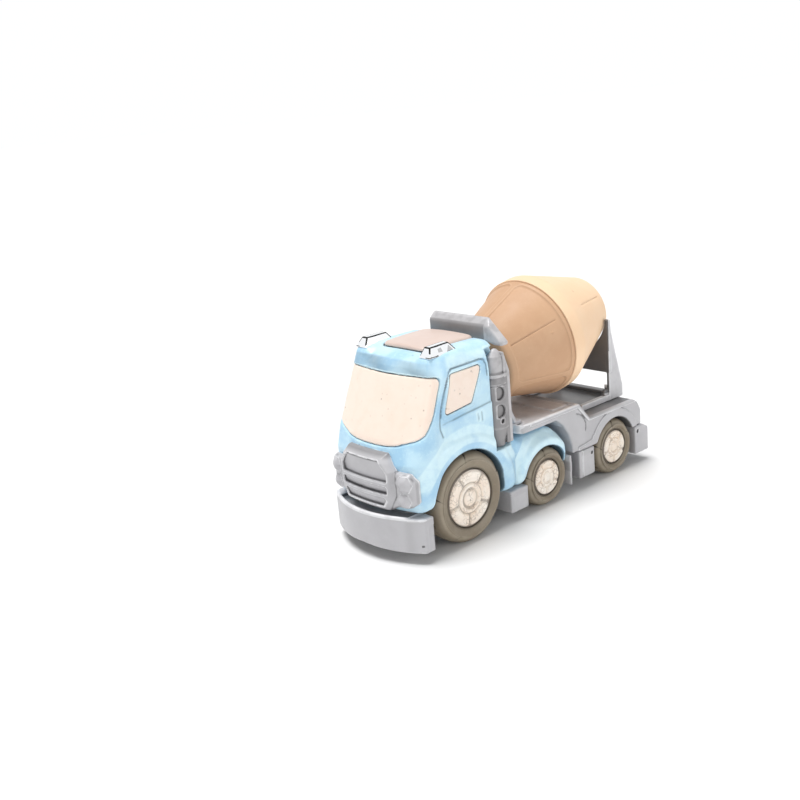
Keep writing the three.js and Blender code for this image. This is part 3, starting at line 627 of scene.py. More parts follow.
def cab_paint(x, y, z):
    """Painted highlights on the arches' crowns and the roof's sides; painted shade in lines and hollows."""
    a = np.abs(x)
    side = ramp(a, 36, 41)
    reach_front = circle(y, z, FRONT_WHEEL, 0)
    reach_middle = circle(y, z, MIDDLE_WHEEL, 0)
    crown = band(reach_front, 37, 41, 47.5, 52) * ramp(z, 40, 58) * (y < CAB_REAR_Y)
    deck = band(reach_middle, 24.2, 25.6, 36, 40) * ramp(z, 22, 32) * (y > CAB_REAR_Y)
    roof = ramp(z, 122, 126) * ramp(y, -84, -76)
    door_line = fade(stroke(y, z, DOOR_LINE), 0.1, 1.1)
    handle = fade(handle_lines(y, z), 0.1, 1.0)
    brow = band(z, 119, 122, 128, 131) * ramp(-y, 86, 92)
    # The painted shade on the roof's front is broken into soft blotches.
    shade_blotches = 0.76 + 0.24 * np.sin(0.11 * x + 0.3 * z) * np.sin(0.07 * x - 0.7)
    valley = np.exp(-(((y - CAB_REAR_Y) / 7) ** 2)) * fade(z, 48, 60)
    above = z - np.interp(y, *BELT_LINE)
    door = ramp(y, -92, -88) * (y < -22) * ramp(z, 78, 84)
    belt = 0.24 * fade(np.abs(above), 0.2, 1.3) + 0.2 * band(above, -0.5, 0.5, 6, 14)
    arches = np.maximum(fade(reach_front, 33.9, 34.5), fade(reach_middle, 23.9, 24.5)) * (a > 30)
    # Painted shade in the door and handle lines, the valley between the fenders, the door above its belt
    # line, the roof's front and the arch edges; painted highlights on the fender crowns, the roof's sides and
    # the door under its belt line.
    darker = side * (0.42 * door_line + 0.3 * handle + door * belt + 0.3 * valley)
    paler = side * (0.7 * (crown + 1.2 * deck) + 0.5 * roof + 0.22 * door * fade(above, -1.5, 0.0))
    return darker + 0.48 * brow * shade_blotches + 0.7 * arches, paler - arches


cab = moulding("cab", cab_shape, ([-HALF, NOSE_Y, 24], [HALF, 33, 134]), 0.8, paint=cab_paint)
finish(cab, BLUE, "tractor", "cab_shell")


def windshield_shape(x, y, z):
    body = cab_body(x, y, z)
    return smax(smax(body + 0.15, -(body + 1.8), 0.3), glass_outline(x, y, z), 1.0)


glass = moulding("windshield_pane", windshield_shape, node_box("windshield"), 0.75)
finish(glass, CREAM, "tractor", "windshield")


def window_shape(x, y, z):
    body = cab_body(x, y, z)
    outline = np.maximum(polygon(y, z, SIDE_WINDOW, 2.0), 38 - np.abs(x))
    return smax(smax(body + 0.15, -(body + 1.5), 0.3), outline, 0.8)


for word, span in (("left", (41.0, 46.0)), ("right", (-46.0, -41.0))):
    pane = moulding(f"window_{word}", window_shape, ([span[0], -87, 94], [span[1], -50, 121]), 0.5)
    finish(pane, CREAM, "tractor", f"side_window_{word}")


def roof_panel_shape(x, y, z):
    outline = polygon(x, y, ROOF_PANEL, 6.0)
    crown = 136.2 - 0.0016 * x**2 - 0.0009 * (y + 57) ** 2
    return smax(smax(outline, z - crown, 3.0), 132.7 - z, 0.5)


roof = moulding("roof_hatch", roof_panel_shape, node_box("roof_panel"), 0.7)
finish(roof, HATCH, "tractor", "roof_panel")


LAMP_SIDE = [(-90.4, 127), (-90.2, 132.4), (-86.4, 138.6), (-69.4, 138.8), (-64.8, 133.2), (-64.8, 127)]
LAMP_FRONT = [(-5.6, 126), (-5.2, 131), (-2.6, 140), (1.4, 140), (6.0, 131), (6.0, 126)]
LAMP_FACETS = (
    [(-73.6, 133.4), (-70.4, 137.4), (-67.2, 133.4)],
    [(-81, 134.2), (-80.6, 136.8), (-77.2, 137), (-76.8, 134.2)],
)


def lamp_faces(x, y, z):
    """Distances to the two outlines of a lamp, and how far out across it a point is."""
    toe = np.abs(x) - 31.4 + (y + 77) * 0.03
    return polygon(y, z, LAMP_SIDE, 0.3), polygon(toe, z, LAMP_FRONT, 0.3), toe


def light_shape(x, y, z):
    side, front, _ = lamp_faces(x, y, z)
    return np.maximum(smax(side, front, 0.3), 132.0 - z)


def light_paint(x, y, z):
    """Thin black lines along the clear block's upper edges, and two grey facets in its outer face,
    painted on the chrome as dark reflections.
    """
    side, front, toe = lamp_faces(x, y, z)
    edge = fade(-np.minimum(side, front), 0.4, 0.8) * ramp(z, np.where(toe > 0, 134.6, 132.4), 135.6)
    corner = fade(np.hypot(y + 86.4, z - 138.6), 0.5, 1.0)
    back = fade(stroke(y, z, [(-69.4, 138.8), (-65.2, 133.6)]), 0.4, 0.8)
    foot = fade(np.abs(z - 132.9), 0.3, 0.5) * ((y < -90) & (toe > 1.5) | (toe > 5) & (y < -82))
    lines = np.maximum(np.maximum(edge, corner), np.maximum(back * (toe > 0), foot))
    facet = np.minimum(*(polygon(y, z, outline) for outline in LAMP_FACETS))
    grey = 0.19 * fade(facet, -0.2, 0.2) * (toe > 2.4)
    return 0, np.where(lines > 0.3, lines, grey - 1 + (grey > 0.02))


for word, sign in (("left", 1), ("right", -1)):
    lamp = moulding(f"roof_lamp_{word}", light_shape, node_box(f"roof_light_{word}"), 0.3, paint=light_paint)
    finish(lamp, CHROME, "tractor", f"roof_light_{word}")

# ---- grille, bumper, roof bar, stacks

GRILLE = both([(19.4, 73.4), (27, 62.6), (38, 62.2), (42, 57), (42, 42), (37, 38.5), (26, 37.5), (21, 34.6)])
HEX = both([(19.4, 73.4), (27, 62.6), (27, 46), (20.5, 34.6)])
LOUVRES = (
    both([(15.6, 69.2), (22.4, 61), (22.4, 55.0)]),
    both([(22, 52.2), (22, 46.8)]),
    both([(21.4, 44.2), (18, 38.2)]),
)
HEADLAMPS = (34.6, 55.4, 5.6), (34.0, 43.8, 4.8)  # x, z and radius
PLATE_Y, LOBE_Y = -126.1, -123.2


def grille_shape(x, y, z):
    a = np.abs(x)
    yb = y - x**2 / 260 - 0.55 * np.maximum(z - 68, 0)
    base = smax(polygon(x, z, GRILLE, 3.0), slab(yb, LOBE_Y, -112.0), 3.4)
    hexagon = polygon(x, z, HEX, 1.5)
    plate = smax(hexagon, slab(yb, PLATE_Y, -112.0), 0.7)
    chamfer = (hexagon - yb + PLATE_Y + 3.2) * math.sqrt(0.5)
    plate = smax(plate, chamfer, 0.9)
    f = smin(base, plate, 0.6)
    for outline in LOUVRES:
        top, bottom = max(p[1] for p in outline), min(p[1] for p in outline)
        depth = 0.9 + 1.9 * np.clip((top - z) / (top - bottom), 0, 1)
        f = smax(f, -np.maximum(polygon(x, z, outline, 1.4), yb - PLATE_Y - depth), 0.6)
    for lx, lz, r in HEADLAMPS:
        d = np.hypot(a - lx, z - lz)
        turn = np.mod(np.arctan2(z - lz, a - lx), np.pi / 3) - np.pi / 6
        facet = d * (0.2 + 0.8 * np.cos(turn)) - r
        dome = smax(facet + 1.1 * np.maximum(-(yb + 123.8), 0), -(yb + 126.6), 1.6)
        f = smin(f, np.maximum(dome * 0.7, yb + 118), 1.2)
    return smax(f, 0.2 - cab_body(x, y, z), 0.3)


def grille_paint(x, y, z):
    """The edge above the louvres, the side lobes' rim and the rings around the lamps are in shade."""
    a = np.abs(x)
    brow = ramp(z, 67.5, 73.0)
    rim = fade(-polygon(x, z, GRILLE, 3.0), 0.3, 1.3) * (a > 28)
    wall = fade(np.abs(polygon(x, z, HEX, 1.5) - 0.6), 0.3, 0.9) * (z < 63) * (a > 20)
    ring = sum(fade(np.abs(circle(a, z, lamp, lamp[2] + 0.2)), 0.2, 0.9) for lamp in HEADLAMPS)
    return 0.5 * brow + 0.34 * rim + 0.5 * wall + 0.4 * ring * (a > 27.5), -0.4 * brow - wall


grille = moulding("radiator_grille", grille_shape, node_box("grille"), 0.6, paint=grille_paint)
finish(grille, GREY, "tractor", "grille")


BUMPER_BOW = 142.0  # twice the radius of its bend


def bumper_shape(x, y, z):
    a = np.abs(x)
    edge = np.maximum(0, (a - 38.6) / 7.4)
    yb = y - x**2 / BUMPER_BOW - edge**2
    top = 33.0 - 1.2 * ramp(a, 34.0, 36.0)
    outer = smax(slab(yb, -130, -114.5), slab(z, 8.0 + 0.0008 * (SKIN - a) ** 2, top), 1.3)
    shelf = 30.4 + 3.4 * ramp(a, 33.4, 35.4)
    f = smax(outer, -smax(-(yb + 127.4), shelf - z, 1.0), 0.7)
    f = smax(f, -smax(slab(yb, -126.4, -100), slab(z, -10, 26.4), 1.5), 1.0)
    wall = smax(smax(slab(a, 42.2, SKIN), -(yb + 130), 1.3), y + 106.2, 0.8)
    f = smin(f, smax(wall, slab(z, 8, 31.8), 0.8), 0.3)
    f = smax(f, y + 106.1, 0.6)
    return smax(f, a - SKIN, 0.7)


def bumper_paint(x, y, z):
    """Painted highlight on the lip along the top; painted shade in the trough behind it, on a dot
    for a pit and at the turn.
    """
    depth = y - x**2 / BUMPER_BOW
    lip = ramp(z, 30.6, 31.6) * (depth < -126.9)
    trough = ramp(z, 28, 29.5) * ramp(depth, -127.0, -126.4) * fade(np.abs(x), 33.5, 35)
    dot = fade(np.hypot(np.abs(x) - 44.2, z - 13.4), 0.5, 1.1)
    turn = np.exp(-(((np.abs(x) - 37) / 6) ** 2)) * (depth < -127) * (z < 30)
    return 0.34 * trough + 0.9 * dot + 0.27 * turn, 0.6 * lip - trough - dot


bumper = moulding("front_bumper", bumper_shape, node_box("bumper"), 0.7, paint=bumper_paint)
finish(bumper, GREY, "tractor", "bumper")

BEAM = [
    (-26.5, 129.2), (-26.5, 145.4), (27.2, 145.4), (43.4, 130.4), (43.4, 127.7), (35.8, 127.7), (30, 129.2)
]


def bar_shape(x, y, z):
    f = smax(polygon(x, z, BEAM, 1.6), slab(y, -30, -22.8), 2.0)
    slope = (6.0 * (z - 140.2) - 5.2 * (y + 30)) / 7.94
    return smax(f, np.where(x < 30, slope, slope - 0.2 * (x - 30)), 1.0)


def bar_paint(x, y, z):
    """Painted highlights on the end that slopes down to the stack and on the beam's upper slope;
    a little painted shade on the beam's front face.
    """
    wing = ramp(x, 27.0, 27.8)
    slope = (1 - wing) * ramp(z, 140.6, 141.6) * ramp(-y, 23.5, 24.5)
    return 0.1 * (1 - wing) * (y < -29), 0.66 * wing + 0.34 * slope


bar = moulding("roof_hoop", bar_shape, node_box("roof_bar"), 0.5, paint=bar_paint)
finish(bar, SMOKE, "tractor", "roof_bar")


STACK_LINE = (
    [57.8, 66, 71, 73.0, 88, 101, 104.5, 106.5, 108.4, 110.4, 112.2, 117, 122, 126.9],
    [4.4, 6.6, 7.8, 8.4, 8.9, 8.9, 8.4, 7.4, 6.8, 6.4, 6.7, 6.9, 6.2, 1.6],
)


def stack_shape(x, y, z):
    a = np.abs(x)
    q = np.hypot((a - 39.4) / 0.74, y + 33.8)
    f = (q - np.interp(z, *STACK_LINE)) * 0.85
    f = smin(f, np.hypot(q - 7.9, z - 72.2) - 0.8, 0.6)
    f = smin(f, np.hypot(q - 7.0, z - 108.6) - 0.9, 0.5)
    f = smax(f, slab(z, 57.9, 127), 1.5)
    for zc in (96.8, 84.2):
        slot = smax(circle(y, z, (-36.4, zc), 4.6), -(y + 38.6), 0.7)
        f = smax(f, -np.maximum(slot, 43.6 - a), 0.9)
    f = smax(f, -np.maximum(circle(y, z, (-35.0, 77.0), 1.5), 43.6 - a), 0.6)
    f = smax(f, -np.maximum(slab(z, 101.8, 102.5), -(f + 0.5)), 0.4)
    back = polygon(y, z, [(-31, 127), (-25.2, 110), (-25.2, 60), (-31, 60)], 0.5)
    f = smin(f, smax(back, slab(a, 35.2, 44.9), 0.8), 0.5)
    return smax(f, slab(a, 33.5, SKIN), 0.5)


def stack_paint(x, y, z):
    """The strip behind the pipe is a paler plastic; the pipe's head and the ring under the head
    have painted highlights.
    """
    strip = ramp(y, -28.6, -27.8)
    head = ramp(z, 110, 112) * 0.35 + 0.4 * fade(np.abs(z - 108.4), 0.8, 1.6)
    return -0.3 * strip, np.maximum(0.5 * strip, head)


for word in ("left", "right"):
    stack = moulding(f"stack_{word}", stack_shape, node_box(f"exhaust_stack_{word}"), 0.45, paint=stack_paint)
    finish(stack, SMOKE, "tractor", f"exhaust_stack_{word}")

# ---- tractor chassis


def tractor_chassis_shape(x, y, z):
    a = np.abs(x)
    parts = [
        block(x, y, z, (-21.5, -111, 26.5), (21.5, 29.6, 30), 0.6),
        block(x, y, z, (-15, 24.8, 19), (15, 29.6, 28), 0.8),
        block(x, y, z, (-15, 28, 19), (15, 35, 23.6), 0.8),
        block(x, y, z, (-45.6, -31.5, 19.4), (45.6, -14.6, 23.65), 0.8),
        block(x, y, z, (-21.5, -31.5, 20), (21.5, -16, 28), 0.8),
        block(x, y, z, (-45.4, 33.35, 19), (45.4, 35, 26), 0.5),
        block(a, y, z, (30.5, 33.35, 8), (45.4, 35, 31), 0.7),
        block(a, y, z, (16, -76, 27), (21.5, -64, 38), 0.8),
        block(a, y, z, (19, 2.3, 16.5), (24.5, 14.3, 28), 0.8),
    ]
    f = parts[0]
    for part in parts[1:]:
        f = smin(f, part, 0.8)
    step = block(a, y, z, (30, -32, 7.5), (45.6, -14.2, 23.65), 0.9)
    tread = slab(z, 21.2, 21.8) + np.maximum(44.6 - a, 0)
    step = smax(step, -block(a, y, z, (32, -30, 4), (43.6, -16.2, 20), 1.2), 0.8)
    step = smax(step, -tread, 0.4)
    f = smin(f, step, 0.6)
    for wheel in (FRONT_WHEEL, MIDDLE_WHEEL):
        f = smax(f, -circle(y, z, wheel, AXLE_HOLE), 0.3)
    for py in (-96, -12, 20):
        f = smax(f, -circle(x, y, (0, py), SCREW_HOLE), 0.4)
    return f


chassis = moulding("tractor_underframe", tractor_chassis_shape, node_box("tractor_chassis"), 0.75)
finish(chassis, GREY, "tractor", "tractor_chassis")

# ---- wheels


def wheel_place(centre, sign):
    """The wheel's own frame: its axis points outwards, angle 90 degrees is up."""
    return (0.0, *centre), ((float(sign), 0, 0), (0, float(sign), 0), (0, 0, 1.0))


def tyre_profile(r, hub, width):
    """The tyre's section from its hub seat round the tread, with a lip against the hub."""
    outer, inner = SKIN, SKIN - width
    side = (r + hub) / 2
    line = [
        (inner + 1.6, hub + 0.1), (inner + 0.5, hub + 2.4), (inner + 0.4, r - 5.5), (inner + 1.2, r - 1.6),
        (inner + 3.6, r - 0.1), (outer - 6.6, r - 0.1), (outer - 3.4, r - 1.1), (outer - 1.5, r - 3.1),
        (outer - 0.5, r - 5.2), (outer, side + 0.8), (outer - 0.5, side - 1.6), (outer - 1.6, hub + 2.0),
        (outer - 2.0, hub + 1.2), (outer - 1.5, hub + 0.5), (outer - 2.4, hub + 0.1),
        (inner + 1.6, hub + 0.1),
    ]
    return refine(rounded(line, 1.6), 0.8)[:-1]


HOOKS, LUGS = 5, 24  # cuts round a tyre's shoulder, and grooves round its tread
LOBES = 5


def angle_from(t, first, count):
    """The angle from the nearest of count equally spaced directions."""
    pitch = 2 * np.pi / count
    return np.mod(t - first + pitch / 2, pitch) - pitch / 2


def make_tyre(name, wheel, r, hub, width, sign):
    """A rubber tyre with leaning cuts in its outer shoulder and short grooves in its tread."""

    def shift(s, rad, t):
        outer = ramp(s, SKIN - 8, SKIN - 5) * ramp(rad, r - 6.5, r - 4.5)
        lean = angle_from(t, 0.35, HOOKS) * rad - 0.5 * (r - rad)
        hook = fade(np.abs(lean), 0.15, 0.75) * outer
        step = band(lean, 0.0, 0.8, 0.8, 9.0) * outer
        lug = np.abs(angle_from(t, np.pi / LUGS, LUGS)) * rad
        tread = fade(lug, 0.7, 1.3) * ramp(rad, r - 0.8, r - 0.3)
        groove = 0.9 * tread * fade(np.abs(s - (SKIN - width / 2)), 2.2, 3.2)
        down = 0.5 * hook + groove + 0.5 * step
        ds = -0.3 * hook * ramp(s, SKIN - 3, SKIN - 1)
        # Painted shade in the cuts, the tread grooves, against the hub lip and at the shoulder; painted
        # highlights on the step after each cut and in a band round the sidewall.
        lip = 0.5 * fade(rad, hub + 0.6, hub + 2.4) * (s > SKIN - 4)
        sidewall_highlight = np.exp(-(((rad - (r + hub) / 2 - 1.4) / 1.7) ** 2)) * (s > SKIN - 4)
        shoulder = ramp(rad, r - 3.6, r - 1.8) * ramp(s, SKIN - 7, SKIN - 3)
        hollow = np.clip(hook * 0.6 + groove * 0.5 + lip + 0.24 * shoulder, 0, 1)
        return ds, -down * ramp(rad, hub + 2, r - 3), hollow, 0.2 * step + 0.38 * sidewall_highlight

    return turned(name, tyre_profile(r, hub, width), 288, wheel_place(wheel, sign), shift)


def make_hub(name, wheel, seat, sign):
    """A wheel disc: lobes with a dish in each, a ring that sinks a little on one side, and a cap."""
    outer, r = SKIN, seat - 0.35
    line = [(outer - 8, 2.4), (outer - 8, r - 0.6), (outer - 2.2, r), (outer - 1.9, r - 0.5)]
    line = refine(line, 2.0) + [(outer - 1.2, v) for v in np.linspace(r - 0.8, 0.0, 64)]
    line = [(outer - 8, 0.0), *line]

    def shift(s, rad, t):
        face = s > outer - 1.4
        u = rad / r
        off = np.abs(angle_from(t, -0.44, LOBES)) * rad
        gap = 0.018 * r + 0.05 * r * ramp(u, 0.82, 1.0)
        seam = fade(off, gap, gap + 0.07 * r) * ramp(u, 0.5, 0.58)
        petal = band(u, 0.52, 0.62, 0.9, 0.99) * (1 - seam)
        dish = petal * (1 - 0.35 * fade(np.abs(u - 0.75), 0.0, 0.14) * ramp(off, 0.1 * r, 0.3 * r))
        low_side = fade(np.abs(angle_from(t, 0.15, 1)), 0.85, 1.15)
        ring = fade(np.abs(u - 0.44), 0.035, 0.09) * (1 - 0.16 * low_side)
        bridge = 0.35 * low_side * fade(u, 0.5, 0.58)
        cap = np.sqrt(np.maximum(0, 1 - (u / 0.29) ** 2))
        height = -1.4 + 1.55 * dish + 1.5 * ring + np.maximum(1.9 * cap, bridge)
        height = np.minimum(height, 0.75)
        ripple = 0.12 * np.sin(9 * t + 1.3) * np.sin(23 * u + 2 * t) * ramp(u, 0.3, 0.5)
        height = height + ripple * (height > -1.2)
        # Painted shade in the sunken parts, at the rim and on the disc's inner faces; painted highlights on
        # the raised parts.
        hollow = fade(height, -1.4, -0.2) * 0.024 * r + 0.5 * ramp(u, 0.955, 0.99)
        sharp = ramp(height, -0.4, 0.6) * 0.2
        return np.where(face, height, 0), 0, np.where(face, hollow, 0.7), np.where(face, sharp, 0)

    return turned(name, line, 200, wheel_place(wheel, sign), shift)


WHEELS = (
    ("front", FRONT_WHEEL, FRONT_RADIUS, 20.4, 19.0),
    ("middle", MIDDLE_WHEEL, SMALL_RADIUS, 13.4, 15.5),
    ("rear", REAR_WHEEL, SMALL_RADIUS, 13.4, 15.5),
)
for word, centre, radius, hub_radius, width in WHEELS:
    for hand, sign in (("left", 1), ("right", -1)):
        tyre = make_tyre(f"{word}_rubber_{hand}", centre, radius, hub_radius, width, sign)
        finish(tyre, RUBBER, f"{word}_wheels", f"{word}_tyre_{hand}")
        hub = make_hub(f"{word}_wheel_disc_{hand}", centre, hub_radius, sign)
        finish(hub, HUB, f"{word}_wheels", f"{word}_hub_{hand}")

# ---- trailer

BED_FRONT_Y = -16.6
BED_SIDE = [
    (BED_FRONT_Y, 61), (22, 61), (29, 55.5), (34.8, 47), (38, 38), (39, 31), (123, 31), (123, 43), (119, 50),
    (112.5, 53.5), (58.3, 53.5), (46.3, 67.5), (BED_FRONT_Y, 67.5),
]
BED_TRIM = [(44, 20), (44, 34.4), (54, 35.4), (60, 36.4), (62.5, 41), (66, 20)]
BED_ARC = [(44.2, 60.2), (47.4, 59), (50.4, 57), (53.0, 54), (54.6, 50.4), (54.7, 47.4), (53.8, 44.7)]


def bed_shape(x, y, z):
    a = np.abs(x)
    trim = np.minimum(circle(y, z, REAR_WHEEL, 30.4), polygon(y, z, BED_TRIM, 1.0))
    rail = polygon(y, z, [(-20, 64.4), (45.0, 64.4), (57.0, 51.6), (124, 51.2), (124, 80), (-20, 80)])
    raised = np.maximum(fade(trim, -1.0, 0.5), fade(rail, -0.6, 0.6))
    width = 44.3 + 1.4 * raised
    f = smax(polygon(y, z, BED_SIDE, 1.0), a - width, 1.6)
    f = smax(f, BED_FRONT_Y - y, 0.5)
    f = np.where((a > 36.7) & (y < -7.6), smax(f, np.hypot(a - 36.7, y + 7.6) - 9.0, 1.2), f)
    f = smax(f, -block(x, y, z, (-42.6, -14.1, 65.4), (42.6, 45, 90), 1.5), 0.8)
    f = smax(f, -sunk(stroke(y, z, BED_ARC) - 0.7, 0.4, a - width), 1.0)
    f = smin(f, block(a, y, z, (21, -7.5, 60), (37, -3.5, 66.2), 1.6), 0.5)
    f = smin(f, block(x, y, z, (-36, 27, 60), (36, 44.4, 66.4), 1.0), 0.4)
    f = smax(f, -wheel_well(x, y, z, REAR_WHEEL, WELL_INNER_SMALL), 1.0)
    boss = np.maximum(np.hypot(x, y) - 12, slab(z, 57.8, 64))
    f = smin(f, boss, 1.0)
    return smax(f, -(np.hypot(x, y) - 5.4), 0.3)


def bed_paint(x, y, z):
    """The tray's floor has painted shade towards the back, its rails a painted highlight, and the arches
    and arcs painted shade.
    """
    a = np.abs(x)
    floor = ramp(z, 53.2, 53.5) * ((y < 122.4) & (a < 42.4) & (z < 66.6))
    back = ramp(y, 50, 72)
    arc = 0.4 * fade(stroke(y, z, BED_ARC), 0.1, 1.1) * (a > 43)
    rail = ramp(a, 42.4, 42.8) * ramp(z, 66.6, 67.2)
    arch = fade(circle(y, z, REAR_WHEEL, 0), 23.9, 24.5) * (a > 30)
    darker = floor * (0.55 * back + 0.35 * ramp(y, 90, 108)) + arc + 0.7 * arch
    return darker, 0.75 * rail - floor * (1.1 * back - 0.3) - arch


bed = moulding("mixer_bed", bed_shape, ([-SKIN, BED_FRONT_Y, 31], [SKIN, 123, 67.5]), 0.8, paint=bed_paint)
finish(bed, GREY, "trailer", "trailer_bed")

SKIRT_HOLES = (58.6, 26.2), (116.2, 26.6)
TAIL_SIDE = [(113, 8), (130, 8), (130, 27), (123.6, 30.6), (113, 30.6)]


def trailer_chassis_shape(x, y, z):
    a = np.abs(x)
    plate = block(x, y, z, (-25.5, 43.5, 20.6), (25.5, 114, 24.2), 0.6)
    skirt = block(a, y, z, (30, 43.5, 9.4), (SKIN, 61.5, 30.6), 0.9)
    skirt = smax(skirt, -block(a, y, z, (32, 45.5, 4), (43.7, 59.5, 27), 1.2), 0.8)
    bar = block(x, y, z, (-31, 43.5, 20.6), (31, 61.5, 24.2), 0.6)
    tail = smax(polygon(y, z, TAIL_SIDE, 1.0), a - SKIN, 1.2)
    tail = smax(tail, -block(x, y, z, (-43, 115.5, 0), (43, 127.5, 20.6), 1.2), 0.8)
    bearing = block(a, y, z, (19, 81.7, 17), (24.5, 93.7, 27), 0.8)
    f = smin(smin(smin(plate, skirt, 0.6), smin(bar, tail, 0.6), 0.6), bearing, 0.6)
    f = smax(f, -circle(y, z, REAR_WHEEL, AXLE_HOLE), 0.3)
    for centre in SKIRT_HOLES:
        f = smax(f, -np.maximum(circle(y, z, centre, 1.3), 44.4 - a), 0.3)
    for py in (60, 104):
        f = smax(f, -circle(x, y, (0, py), SCREW_HOLE), 0.4)
    seam = np.abs(y - 47.6) - 0.25
    return smax(f, -np.maximum(seam, np.maximum(45.2 - a, z - 30)), 0.3)


def trailer_chassis_paint(x, y, z):
    """The skirts' front faces and the holes are in shade."""
    front = fade(y, 43.8, 44.6)
    holes = sum(fade(circle(y, z, centre, 1.3), -0.1, 0.4) for centre in SKIRT_HOLES)
    return 0.36 * front + holes, -0.5 * front - holes


box = node_box("trailer_chassis")
underframe = moulding("trailer_underframe", trailer_chassis_shape, box, 0.75, paint=trailer_chassis_paint)
finish(underframe, GREY, "trailer", "trailer_chassis")

DRUM_TILT = math.atan2(19.1, 114.7)  # the axis climbs this much over its length
DRUM_AXIS = np.array((0, math.cos(DRUM_TILT), math.sin(DRUM_TILT)))
DRUM_UP = np.array((0, -math.sin(DRUM_TILT), math.cos(DRUM_TILT)))
DRUM_CENTRE = np.array((0, -6.4, 104.1))  # where the axis meets the front disc
DRUM_RADIUS, TAPER_START, TAPER = 46.0, 62.0, 0.383
TAPER_COSINE = 0.934


def drum_frame(x, y, z):
    """Distance along the drum's axis and from it."""
    dy, dz = y - DRUM_CENTRE[1], z - DRUM_CENTRE[2]
    s = dy * DRUM_AXIS[1] + dz * DRUM_AXIS[2]
    return s, np.hypot(x, dy * DRUM_UP[1] + dz * DRUM_UP[2])


def drum_room(x, y, z, grow):
    """The drum's outside, grown by a gap."""
    s, r = drum_frame(x, y, z)
    ring = r - DRUM_RADIUS - grow
    return np.where(s < TAPER_START, ring, (ring + TAPER * (s - TAPER_START)) * TAPER_COSINE)


def stand_shape(x, y, z):
    a = np.abs(x)
    leg = polygon(y, z, [(99.6, 53.9), (117, 53.9), (117, 63), (103.4, 112), (102, 118), (101.2, 118)], 0.5)
    legs = smax(leg, slab(a, 29.6, 32), 0.7)
    foot = block(a, y, z, (28.2, 66, 53.9), (32, 101, 58.8), 0.8)
    cross = block(x, y, z, (-32, 110, 53.9), (32, 116.4, 57), 0.8)
    gusset = smax(polygon(y, z, [(100.5, 58), (104.5, 58), (101.5, 66), (100.5, 66)]), slab(a, 26.5, 30), 0.5)
    plate = smax(smax(slab(y, 100.2, 103.6), a - 32, 0.6), slab(z, 76, 118), 0.7)
    f = smin(smin(legs, foot, 0.8), smin(cross, smin(plate, gusset, 0.5), 0.6), 0.8)
    hinge = circle(y, z, (98, 60.5), 2.6)
    f = smin(f, smax(hinge, slab(a, 27.6, 30.5), 0.5), 0.6)
    return smax(f, -drum_room(x, y, z, 0.7), 0.6)


def stand_paint(x, y, z):
    """The plate under the drum and the rails are in shade, the legs' outer faces have a painted highlight."""
    inner = ((y < 104.6) & (np.abs(x) < 29.4) & (z > 70)) | ((y - 99.6 < 0.3 + 0.02 * (z - 60)) & (z > 60))
    rail = (np.abs(x) < 28) & (z < 60)
    return 0.75 * inner + 0.66 * rail, np.where(inner | rail, -1.0, 0.25 * (np.abs(x) > 31.4))


stand = moulding("drum_cradle", stand_shape, node_box("rear_stand"), 0.6, paint=stand_paint)
finish(stand, GREY, "trailer", "rear_stand")


def headboard_shape(x, y, z):
    board = both([(8, 116), (15, 108), (17, 98), (36, 67.5), (36, 65.9)])
    f = smax(polygon(x, z, board, 1.0), slab(y, -13.6, -10.4), 0.8)
    f = smin(f, block(x, y, z, (-36, -13.6, 65.9), (36, -6, 68.5), 0.7), 0.8)
    f = smax(f, 3.5 - drum_frame(x, y, z)[1], 0.4)
    return smax(f, -np.maximum(np.hypot(x, y) - 10, z - 80), 0.4)


board = moulding("drum_headboard", headboard_shape, node_box("drum_front_support"), 0.7)
finish(board, GREY, "trailer", "drum_front_support")

# ---- drum

DRUM_PLACE = (tuple(DRUM_CENTRE), (tuple(DRUM_AXIS), (1.0, 0, 0), tuple(DRUM_UP)))
RIBS = 3
RIB_FIRST = math.radians(90)
SEAM, SEAM_RADIUS, FRONT_DISC = 51.4, 45.0, 28.3
PIPS = (20, 38.6), (-25, 47), (140, 38.6), (255, 38.6)  # angle in degrees, and place along the axis


def across_panel(r, t):
    """The distance round the drum from the middle of the nearest panel, and half a panel's width."""
    half = np.pi / RIBS * r
    return half - np.abs(angle_from(t, RIB_FIRST, RIBS) * r), half


def cut_line(across, s, middle, half_length):
    """A groove along the middle of a panel."""
    line = np.hypot(across, np.maximum(np.abs(s - middle) - half_length, 0))
    return 0.6 * fade(line, 0.25, 0.75)


def front_shift(s, r, t):
    """The front cone: sunk panels with round corners between ribs, a groove in each, and small pips."""
    cone = FRONT_DISC + (SEAM_RADIUS - FRONT_DISC) * s / SEAM
    skin = (r > cone - 1.5) & (s > 0.8) & (s < SEAM - 0.05)
    across, half = across_panel(r, t)
    corner = 5
    qx = np.abs(across) - (half - 2.3) + corner
    qs = np.abs(s - 27.4) - 21.2 + corner
    panel = np.hypot(np.maximum(qx, 0), np.maximum(qs, 0)) + np.minimum(np.maximum(qx, qs), 0) - corner
    depth = 0.9 * fade(panel, -0.9, 0.3)
    cut = cut_line(across, s, 26, 18.5)
    pips = 0.0
    for angle, along in PIPS:
        pip = np.hypot(angle_from(t, math.radians(angle), 1) * r, s - along)
        pips = pips + 0.6 * fade(pip, 0.5, 1.3)
    # Painted shade along the panels' rims and in the grooves, and a painted highlight just outside each rim.
    rim = np.exp(-(((panel + 0.1) / 0.45) ** 2))
    paler = 0.3 * np.exp(-(((panel - 0.7) / 0.5) ** 2))
    return 0, (pips - depth - cut) * skin, (0.3 * rim + 0.55 * cut) * skin, paler * skin


